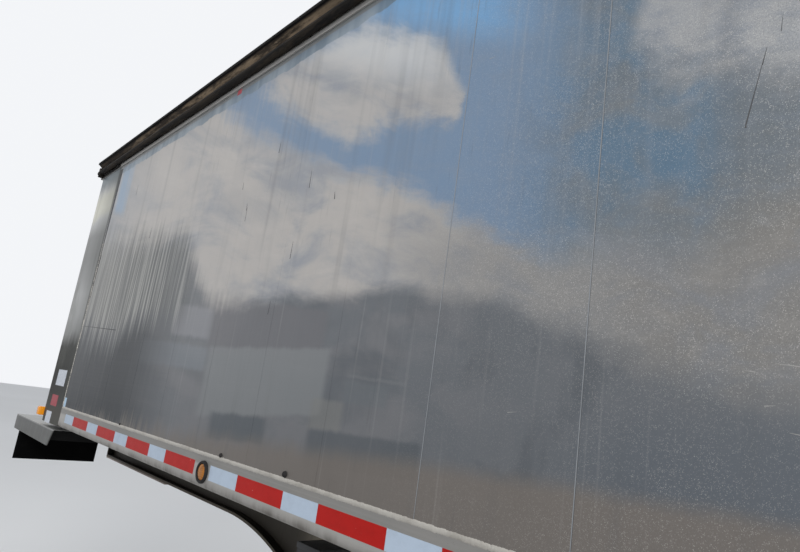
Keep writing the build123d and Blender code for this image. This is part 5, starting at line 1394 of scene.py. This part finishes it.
def hanging_flap(name, node, inner_y, bow):
    """Sheet of rubber for each side of a flap node, curved a little as it hangs."""
    low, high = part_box(node)
    columns, levels = 26, 22
    work = bmesh.new()
    for side in BOTH:
        grid = []
        for i in range(columns + 1):
            across = i / columns
            y = side * (inner_y + (high.y - inner_y) * across)
            column = []
            for j in range(levels + 1):
                down = j / levels
                wave = bow * down**1.6 * sin(pi * (0.15 + 0.7 * across) + side)
                curl = 0.3 * bow * noise_at(y * 4, down * 2, 1.0) * down
                place = ((low.x + high.x) / 2 + wave + curl, y, high.z + (low.z - high.z) * down)
                column.append(work.verts.new(place))
            grid.append(column)
        add_grid(work, grid)
    flap = from_bmesh(name, work, FLAP, "chassis", "flap_rubber")
    thicken(flap, (high.x - low.x) * 0.7)
    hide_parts(node)


hanging_flap("deck_flap_sheets", "front_flaps", 0.654, 0.006)
hanging_flap("mud_flap_sheets", "rear_flaps", 0.625, 0.014)


# Wheels: nuts on the outer discs, hub caps with their bolts and plugs, valves

stud_count, stud_circle, disc_face = 10, 0.1375, 0.920
cap_bolt_count, cap_bolt_circle, hub_face = 6, 0.0925, 0.968
cap_face = 1.058
cap_plate = [(-0.012, 0.0762), (-0.003, 0.0766), (0.002, 0.072), (0.003, 0.056), (0.005, 0.053), (0.005, 0)]
cap_plug = [(0, 0), (0, 0.016), (0.011, 0.016), (0.012, 0.014), (0.012, 0)]
hub_ring = [(-0.003, 0.1102), (-0.002, 0.1120), (0.002, 0.1120), (0.003, 0.1102)]
valve_circle, valve_turn, valve_root = 0.251, 0.62, 0.965


def bolt_ring(axle_x, side, count, circle, face, size, start=0.0):
    """Spots of bolts on a circle round a wheel's middle, facing outwards."""
    spots = []
    for index in range(count):
        angle = start + 2 * pi * index / count
        place = (axle_x + circle * cos(angle), side * face, axle_height + circle * sin(angle))
        spots.append((place, FACE_OUT[side], (size,) * 3))
    return spots


for set_name, axle_x, side in wheel_sets():
    body = f"wheels_{set_name}"
    nuts = bolt_ring(axle_x, side, stud_count, stud_circle, disc_face, 0.036, 0.2)
    nuts += bolt_ring(axle_x, side, cap_bolt_count, cap_bolt_circle, hub_face, 0.017)
    spread(f"wheel_nuts_{set_name}", BOLT, nuts, ZINC, body, "wheel_metal", smooth=False)
    work = bmesh.new()
    rounds = [(cap_plate, cap_face, 40), (cap_plug, cap_face, 6)]
    rounds += [(hub_ring, dual_center + out, 40) for out in (0.004, 0.050)]
    for profile, y, segments in rounds:
        add_lathe(work, profile, (axle_x, side * y, axle_height), (0, side, 0), segments)
    from_bmesh(f"hub_cap_{set_name}", work, STEEL, body, "wheel_metal")
    work = bmesh.new()
    for turn in (valve_turn, valve_turn + pi):
        x, z = axle_x + valve_circle * cos(turn), axle_height + valve_circle * sin(turn)
        root = Vector((x, side * valve_root, z))
        stem = Vector((0.010 * cos(turn), side * 0.050, 0.010 * sin(turn)))
        add_bar(work, root, root + stem, 0.0042, 8)
        add_bar(work, root + Vector((0, side * 0.036, 0)), root + Vector((0, side * 0.052, 0)), 0.0062, 8)
    from_bmesh(f"tyre_valves_{set_name}", work, ZINC, body, "wheel_metal")


# Running gear: nuts of the U-bolts, spring clips, brake chamber bands, pins of the rods

clamp_low_z, clamp_top_z = 0.4485, 0.6686
clamp_x, clamp_y, clamp_nut = 0.078, 0.050, 0.033
spots = []
for axle_x in axle_places:
    for side in BOTH:
        for dx in (-clamp_x, clamp_x):
            for dy in (-clamp_y, clamp_y):
                for z, turn in ((clamp_low_z, FACE_DOWN), (clamp_top_z, FACE_UP)):
                    spots.append(((axle_x + dx, side * beam_y + dy, z), turn, (clamp_nut,) * 3))
spread("spring_clamp_nuts", BOLT, spots, STEEL, "chassis", "black_steel", smooth=False)

# The springs rise towards their ends like a parabola
spring_low_z, spring_rise, spring_half = 0.6085, 0.060, 0.54
clip_reach, clip_half, clip_wide, clip_tall = 0.33, 0.016, 0.045, 0.044
work = bmesh.new()
for axle_x in axle_places:
    for side in BOTH:
        for reach in (-clip_reach, clip_reach):
            x, y = axle_x + reach, side * beam_y
            low_z = spring_low_z + spring_rise * (reach / spring_half) ** 2 + 0.008
            high = (x + clip_half, y + clip_wide, low_z + clip_tall)
            add_box(work, (x - clip_half, y - clip_wide, low_z), high, 0.004)
from_bmesh("spring_clips", work, BLACK, "chassis", "black_steel")

chamber_back, chamber_rise = 0.190, 0.040
chamber_band = [
    (0, 0.077), (0, 0.0835), (0.004, 0.0865), (0.012, 0.0865), (0.016, 0.0835), (0.016, 0.077),
]
band_y, band_bolt_y, band_bolt_rise = 0.262, 0.270, 0.094
# The chamber's two ends as their place across and how far their caps bulge
chamber_ends = [(0.200, -0.010), (0.340, 0.010)]
work = bmesh.new()
bolts = []
for axle_x in axle_places:
    for side in BOTH:
        x, z = axle_x - chamber_back, axle_height + chamber_rise
        add_lathe(work, chamber_band, (x, side * band_y, z), (0, side, 0), 36)
        for end_y, bulge in chamber_ends:
            cap = [(0, 0.074), (bulge * 0.5, 0.066), (bulge, 0.040), (bulge, 0)]
            add_lathe(work, cap, (x, side * end_y, z), (0, side, 0), 36)
        bolts += [(x - 0.008, side * band_bolt_y, z + lift) for lift in (-band_bolt_rise, band_bolt_rise)]
from_bmesh("chamber_bands", work, ZINC, "chassis", "black_steel")
spots = one_size(bolts, FACE_FRONT, 0.017)
spread("chamber_bolts", BOLT, spots, STEEL, "chassis", "black_steel", smooth=False)

rod_pin_z = 0.610
work = bmesh.new()
for side in BOTH:
    for x in (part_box("suspension_arms")[1].x - 0.022, sum(axle_places) / 2):
        for face in (-1, 1):
            start, end = [(x, side * beam_y + face * out, rod_pin_z) for out in (0.048, 0.062)]
            add_bar(work, start, end, 0.024, 6)
from_bmesh("rod_pin_heads", work, STEEL, "chassis", "black_steel")


# Air tanks: dished ends with their fittings, seam rings and straps

tank_low, tank_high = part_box("air_tanks")
tank_radius = 0.125
tank_z = tank_low.z + tank_radius
tank_dish = [
    (0, tank_radius), (0.012, tank_radius * 0.985), (0.026, tank_radius * 0.90), (0.040, tank_radius * 0.70),
    (0.050, tank_radius * 0.38), (0.052, 0),
]
tank_seam = [
    (-0.052, tank_radius), (-0.049, tank_radius + 0.0016), (-0.044, tank_radius + 0.0016),
    (-0.041, tank_radius),
]
tank_fitting = [(0.048, 0.022), (0.062, 0.022), (0.062, 0)]
tank_strap = [
    (-0.021, tank_radius), (-0.020, tank_radius + 0.003), (0.020, tank_radius + 0.003),
    (0.021, tank_radius),
]
work = bmesh.new()
straps = bmesh.new()
for tank_y in (-0.170, 0.170):
    for end_x, out in ((tank_high.x, 1), (tank_low.x, -1)):
        for profile, segments in ((tank_dish, 40), (tank_seam, 40), (tank_fitting, 6)):
            add_lathe(work, profile, (end_x, tank_y, tank_z), (out, 0, 0), segments)
    for share in (0.22, 0.78):
        x = tank_low.x + (tank_high.x - tank_low.x) * share
        add_lathe(straps, tank_strap, (x, tank_y, tank_z), (1, 0, 0), 40)
        low = (x - 0.016, tank_y - 0.014, tank_z - tank_radius - 0.012)
        add_box(straps, low, (x + 0.016, tank_y + 0.014, tank_z - tank_radius), 0.003)
from_bmesh("tank_ends", work, TANK, "chassis", "tank_metal")
from_bmesh("tank_straps", straps, ZINC, "chassis", "tank_metal")


# Landing gear: gearbox with its bolts, collars, foot pins and plates, bracket bolts, crank's grip

leg_x, leg_y, leg_half = 1.715, 0.920, 0.063
gearbox_y = leg_y + leg_half
gearbox_half, gearbox_deep = 0.074, 0.034
gearbox_low_z, gearbox_top_z = 0.772, 0.946
lid_half, lid_low_z, lid_top_z = 0.052, 0.800, 0.925
# Collars round the legs as their height and how far they stand proud
collars = [(0.560, 0.004), (1.372, 0.003)]
foot_pin_z, foot_pin_radius = 0.046, 0.011
foot_half, foot_plate_y, foot_low_z, foot_top_z = 0.100, 0.050, 0.020, 0.052
bracket_bolt_places = [(y, z) for y in (0.500, 0.820) for z in (1.045, 1.115, 1.185, 1.255)]
bracket_faces = ((1.778, FACE_FRONT), (1.652, FACE_BACK))
work = bmesh.new()
low = (leg_x - gearbox_half, gearbox_y, gearbox_low_z)
add_box(work, low, (leg_x + gearbox_half, gearbox_y + gearbox_deep, gearbox_top_z), 0.010)
low = (leg_x - lid_half, gearbox_y + 0.030, lid_low_z)
add_box(work, low, (leg_x + lid_half, gearbox_y + 0.044, lid_top_z), 0.008)
for side in BOTH:
    y = side * leg_y
    for low_z, proud in collars:
        half = leg_half + proud
        add_box(work, (leg_x - half, y - half, low_z), (leg_x + half, y + half, low_z + 0.020), 0.003)
    pin_start, pin_end = [(leg_x + reach, y, foot_pin_z) for reach in (-gearbox_half, gearbox_half)]
    add_bar(work, pin_start, pin_end, foot_pin_radius, 12)
    for face in BOTH:
        plate_y = y + face * foot_plate_y
        high = (leg_x + foot_half, plate_y + 0.004, foot_top_z)
        add_box(work, (leg_x - foot_half, plate_y - 0.004, foot_low_z), high, 0.002)
from_bmesh("landing_gear_fittings", work, BLACK, "chassis", "black_steel")

bolts = []
for side in BOTH:
    for y, z in bracket_bolt_places:
        for x, turn in bracket_faces:
            bolts.append(((x, side * y, z), turn, (0.027,) * 3))
lid_bolts = [(leg_x + dx, gearbox_y + gearbox_deep, z) for dx in (-0.055, 0.055) for z in (0.790, 0.928)]
bolts += one_size(lid_bolts, FACE_OUT[LEFT], 0.014)
spread("landing_gear_bolts", BOLT, bolts, STEEL, "chassis", "black_steel", smooth=False)

crank_low, crank_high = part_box("landing_crank")
grip_ring = [(0, 0.0120), (0.002, 0.0142), (0.008, 0.0142), (0.010, 0.0120)]
grip_x, grip_y, grip_z = leg_x + 0.325, crank_high.y - 0.085, (crank_low.z + crank_high.z) / 2
grip_count, grip_pitch = 8, 0.0104
grip = bmesh.new()
for step in range(grip_count):
    place = (grip_x, grip_y + step * grip_pitch, grip_z)
    add_lathe(grip, grip_ring, place, (0, 1, 0), 16)
from_bmesh("crank_grip_rings", grip, FLAP, "chassis", "black_steel")


# Rear lamps, tape on guard and tailgate, mud flap fixings

light_low, light_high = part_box("rear_lights")
rear_lamp_places = (0.700, 0.850, 1.000)
rear_grommet = [(-0.012, 0.0505), (-0.012, 0.0565), (-0.002, 0.0560), (0.001, 0.0520), (0.0005, 0.0485)]
rear_lens = [(0, 0.0490), (0.004, 0.0470), (0.0075, 0.036), (0.009, 0.018), (0.0094, 0)]
rings = bmesh.new()
glasses = bmesh.new()
for side in BOTH:
    for y in rear_lamp_places:
        origin = (light_low.x, side * y, (light_low.z + light_high.z) / 2)
        add_lathe(rings, rear_grommet, origin, (-1, 0, 0), 40)
        add_lathe(glasses, rear_lens, origin, (-1, 0, 0), 40)
from_bmesh("rear_lamp_grommets", rings, SEAL, "chassis", "black_steel")
from_bmesh("rear_lamp_lenses", glasses, RED_LENS, "chassis", "lamp_lens")

rear_tape_height = 0.0508
rear_tape_half = 2 * tape_period + red_length / 2
guard_tape_z = 0.485
gate_low, gate_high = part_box("tailgate")
gate_panel_x, gate_tape_z = gate_low.x + 0.060, gate_low.z + 0.110


def tape_across(name, face_x, low_z, body):
    """Red and white blocks in turn across the rear, facing back."""
    kinds = (("red", RED_TAPE, 0.0, red_length), ("white", WHITE_TAPE, red_length, white_length))
    for color, finish, first, length in kinds:
        spots = []
        y = first - rear_tape_half
        while y + length <= rear_tape_half + 1e-6:
            place = (face_x - SKIN / 2, y + length / 2, low_z + rear_tape_height / 2)
            spots.append((place, UNTURNED, (SKIN, length - 0.001, rear_tape_height)))
            y += tape_period
        spread(f"{name}_tape_{color}", unit_block(), spots, finish, body, smooth=False)


tape_across("guard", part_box("rear_guard")[0].x, guard_tape_z, "chassis")
tape_across("gate", gate_panel_x, gate_tape_z, "tailgate")

flap_low, flap_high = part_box("rear_flaps")
bar_low, bar_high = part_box("flap_bars")
strip_ends = (0.640, 1.155)
low_strip_inset = 0.02
strip_bolt_places = [0.670 + index * 0.113 for index in range(5)]
bar_bolt_places = [0.700 + index * 0.145 for index in range(4)]
bolts = []
strips = bmesh.new()
for side in BOTH:
    inner, outer = [side * y for y in strip_ends]
    low = (flap_low.x - 0.005, inner, flap_high.z - 0.055)
    add_box(strips, low, (flap_low.x + 0.001, outer, flap_high.z - 0.012), 0.001)
    inner, outer = inner + side * low_strip_inset, outer - side * low_strip_inset
    low = (flap_low.x - 0.004, inner, flap_low.z + 0.020)
    add_box(strips, low, (flap_low.x + 0.001, outer, flap_low.z + 0.055), 0.001)
    bolts += [(flap_low.x - 0.005, side * y, flap_high.z - 0.033) for y in strip_bolt_places]
    bolts += [(bar_low.x, side * y, (bar_low.z + bar_high.z) / 2) for y in bar_bolt_places]
from_bmesh("mud_flap_strips", strips, ZINC, "chassis", "frame_metal")
spots = one_size(bolts, FACE_BACK, 0.020)
spread("mud_flap_bolts", BOLT, spots, STEEL, "chassis", "frame_metal", smooth=False)


# Rivets on the bulkhead's ribs and the tailgate's frame, bolts on the hinge pins

rivet_rows, rivet_pitch = 17, 0.0998
rib_places, rib_edge, post_rivet_y = (0.350, 0.760), 0.024, 1.062
bulk_low, bulk_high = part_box("front_bulkhead")
rivets = []
for side in BOTH:
    columns = [(bulk_high.x, side * y + edge) for y in rib_places for edge in (-rib_edge, rib_edge)]
    columns.append((bed_front_x, side * post_rivet_y))
    for x, y in columns:
        rivets += [(x, y, bulk_low.z + 0.06 + index * rivet_pitch) for index in range(rivet_rows)]
spots = one_size(rivets, FACE_FRONT, 0.012)
spread("bulkhead_rivets", RIVET, spots, CAST, "bed", "bed_aluminium")

gate_rib_pitch = (gate_high.z - gate_low.z - 0.090) / 4
frame_rivet_y, frame_rivet_z, frame_rivet_pitch = gate_high.y - 0.105, gate_low.z + 0.12, 0.100
frame_rivets = []
for side in BOTH:
    frame_rivets += [
        (gate_panel_x, side * frame_rivet_y, frame_rivet_z + index * frame_rivet_pitch) for index in range(15)
    ]
rib_rivets = []
for level in range(4):
    rib_z = gate_low.z + level * gate_rib_pitch + 0.100
    rib_rivets += [(gate_panel_x, index * 0.105, rib_z) for index in range(-10, 11)]
spots = one_size(frame_rivets, FACE_BACK, 0.012) + one_size(rib_rivets, FACE_BACK, 0.010)
spread("gate_rivets", RIVET, spots, CAST, "tailgate", "bed_aluminium")

hinge_x, hinge_z = -5.0195, 1.300
hinge_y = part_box("hinge_blocks")[1].y
spots = [((hinge_x, side * hinge_y, hinge_z), FACE_OUT[side], (0.050,) * 3) for side in BOTH]
spread("hinge_bolts", BOLT, spots, STEEL, "chassis", "frame_metal", smooth=False)


# Hoist: pin in the bracket, port fitting and rings of the barrel, bolts of the bracket

hoist_x, hoist_top_z, hoist_low_z = 5.1155, 3.000, 1.345
pin_half = 0.120
pin_cap = [(0, 0.028), (0, 0.040), (0.006, 0.040), (0.008, 0.037), (0.008, 0)]
# The port's nut and pipe: distances behind the hoist's axis, radius and sides
port_parts = [(0.110, 0.150, 0.022, 6), (0.140, 0.168, 0.016, 16)]
port_z = hoist_low_z + 0.055
barrel_ring = [(-0.006, 0.1148), (-0.004, 0.1165), (0.004, 0.1165), (0.006, 0.1148)]
work = bmesh.new()
add_bar(work, (hoist_x, -pin_half, hoist_top_z), (hoist_x, pin_half, hoist_top_z), 0.0285, 28)
for side in BOTH:
    add_lathe(work, pin_cap, (hoist_x, side * 0.116, hoist_top_z), (0, side, 0), 28)
from_bmesh("hoist_pin", work, STEEL, "bed", "steel")
work = bmesh.new()
for start, end, radius, segments in port_parts:
    add_bar(work, (hoist_x - start, 0, port_z), (hoist_x - end, 0, port_z), radius, segments)
for lift in (0.16, 1.30):
    add_lathe(work, barrel_ring, (hoist_x, 0, hoist_low_z + lift), (0, 0, 1), 40)
from_bmesh("hoist_fittings", work, ZINC, "hoist_barrel", "hoist_paint")
bracket_face_x = 4.5775
bolts = [
    (bracket_face_x, y, z) for y in (-0.26, -0.18, 0.18, 0.26) for z in (2.68, 2.80, 2.92, 3.04, 3.16)
]
spots = one_size(bolts, FACE_FRONT, 0.028)
spread("hoist_bracket_bolts", BOLT, spots, STEEL, "bed", "bed_aluminium", smooth=False)


# Couplings: two heads with their seals and lugs, socket cover, bolts of the stand

coupling_front_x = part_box("air_couplings")[1].x
coupling_z = 1.590
coupling_head = [(0, 0.024), (0.002, 0.031), (0.016, 0.033), (0.021, 0.030), (0.022, 0.020)]
coupling_seal = [(0.0, 0.020), (0.0215, 0.020), (0.0235, 0.016), (0.0235, 0.009), (0.010, 0.008), (0.010, 0)]
socket_cover = [(0, 0.034), (0.004, 0.038), (0.012, 0.038), (0.016, 0.034)]
work = bmesh.new()
seals = bmesh.new()
for y in (0.365, 0.515):
    x = coupling_front_x - 0.022
    add_lathe(work, coupling_head, (x, y, coupling_z), (1, 0, 0), 28)
    add_lathe(seals, coupling_seal, (x, y, coupling_z), (1, 0, 0), 28)
    high = (x + 0.018, y + 0.024, coupling_z + 0.044)
    add_box(work, (x + 0.004, y - 0.010, coupling_z + 0.026), high, 0.003)
add_lathe(work, socket_cover, (coupling_front_x - 0.016, 0.440, coupling_z), (1, 0, 0), 28)
from_bmesh("coupling_heads", work, CAST, "chassis", "coupling_metal")
from_bmesh("coupling_seals", seals, SEAL, "chassis", "coupling_metal")
stand_face_x = 5.1935
bolts = [(stand_face_x, y, z) for y in (0.340, 0.403, 0.477, 0.540) for z in (1.500, 1.630)]
spots = one_size(bolts, FACE_FRONT, 0.014)
spread("coupling_bolts", BOLT, spots, ZINC, "chassis", "coupling_metal", smooth=False)


# Floor, light and camera

floor_reach = 60.0
floor = bmesh.new()
floor_corners = [
    floor.verts.new((x * floor_reach, y * floor_reach, 0)) for x, y in ((-1, -1), (1, -1), (1, 1), (-1, 1))
]
floor.faces.new(floor_corners)
mesh = bpy.data.meshes.new("studio_floor")
floor.to_mesh(mesh)
floor.free()
mesh.materials.append(floor_finish())
studio_floor = bpy.data.objects.new("studio_floor", mesh)
scene.collection.objects.link(studio_floor)

# Camera, mirrors and clear parts see one even tone, everything else is lit by another
world = bpy.data.worlds.new("studio")
world.use_nodes = True
scene.world = world
tree = world.node_tree
tree.nodes.clear()
rays = add_node(tree, "ShaderNodeLightPath", {}, {}).outputs
larger = {"operation": "MAXIMUM"}
seen = add_node(tree, "ShaderNodeMath", larger, {0: rays["Is Camera Ray"], 1: rays["Is Glossy Ray"]})
through = add_node(tree, "ShaderNodeMath", larger, {0: seen.outputs[0], 1: rays["Is Transmission Ray"]})
lit, shown = [
    add_node(tree, "ShaderNodeBackground", {}, {"Color": color, "Strength": strength})
    for color, strength in (((0.86, 0.90, 0.96, 1), 0.62), ((0.90, 0.915, 0.94, 1), 1.0))
]
join = add_node(
    tree, "ShaderNodeMixShader", {}, {0: through.outputs[0], 1: lit.outputs[0], 2: shown.outputs[0]}
)
add_node(tree, "ShaderNodeOutputWorld", {}, {"Surface": join.outputs[0]})


def soft_lamp(name, place, aim, size, power):
    """Square area lamp that looks from its place towards a point."""
    data = bpy.data.lights.new(name, "AREA")
    data.shape = "SQUARE"
    data.size = size
    data.energy = power
    lamp = bpy.data.objects.new(name, data)
    lamp.location = place
    lamp.rotation_euler = (Vector(aim) - Vector(place)).to_track_quat("-Z", "Y").to_euler()
    scene.collection.objects.link(lamp)


soft_lamp("key_lamp", (-10.0, 9.0, 10.0), (0, 0, 1.0), 7.0, 1500.0)
soft_lamp("fill_lamp", (-4.0, -12.0, 8.0), (0, 0, 1.0), 8.0, 900.0)

camera_data = bpy.data.cameras.new("photo_camera")
camera_data.sensor_width = 36.0
camera_data.lens = 26.0235
camera_data.shift_y = 0.0313
camera_data.clip_start = 0.01
camera_data.clip_end = 300.0
camera = bpy.data.objects.new("photo_camera", camera_data)

# The camera's place and the directions of its right, down and forward axes
camera_place = (0.065, 2.219, 1.85)
right = Vector((-0.68288389, -0.71744113, 0.13765103))
down = Vector((0.04927976, -0.23323853, -0.97117007))
ahead = Vector((0.72886288, -0.65641299, 0.19463016))
turned = Matrix((right, -down, -ahead)).transposed().to_4x4()
camera.matrix_world = Matrix.Translation(camera_place) @ turned
scene.collection.objects.link(camera)
scene.camera = camera
scene.view_settings.view_transform = "Standard"
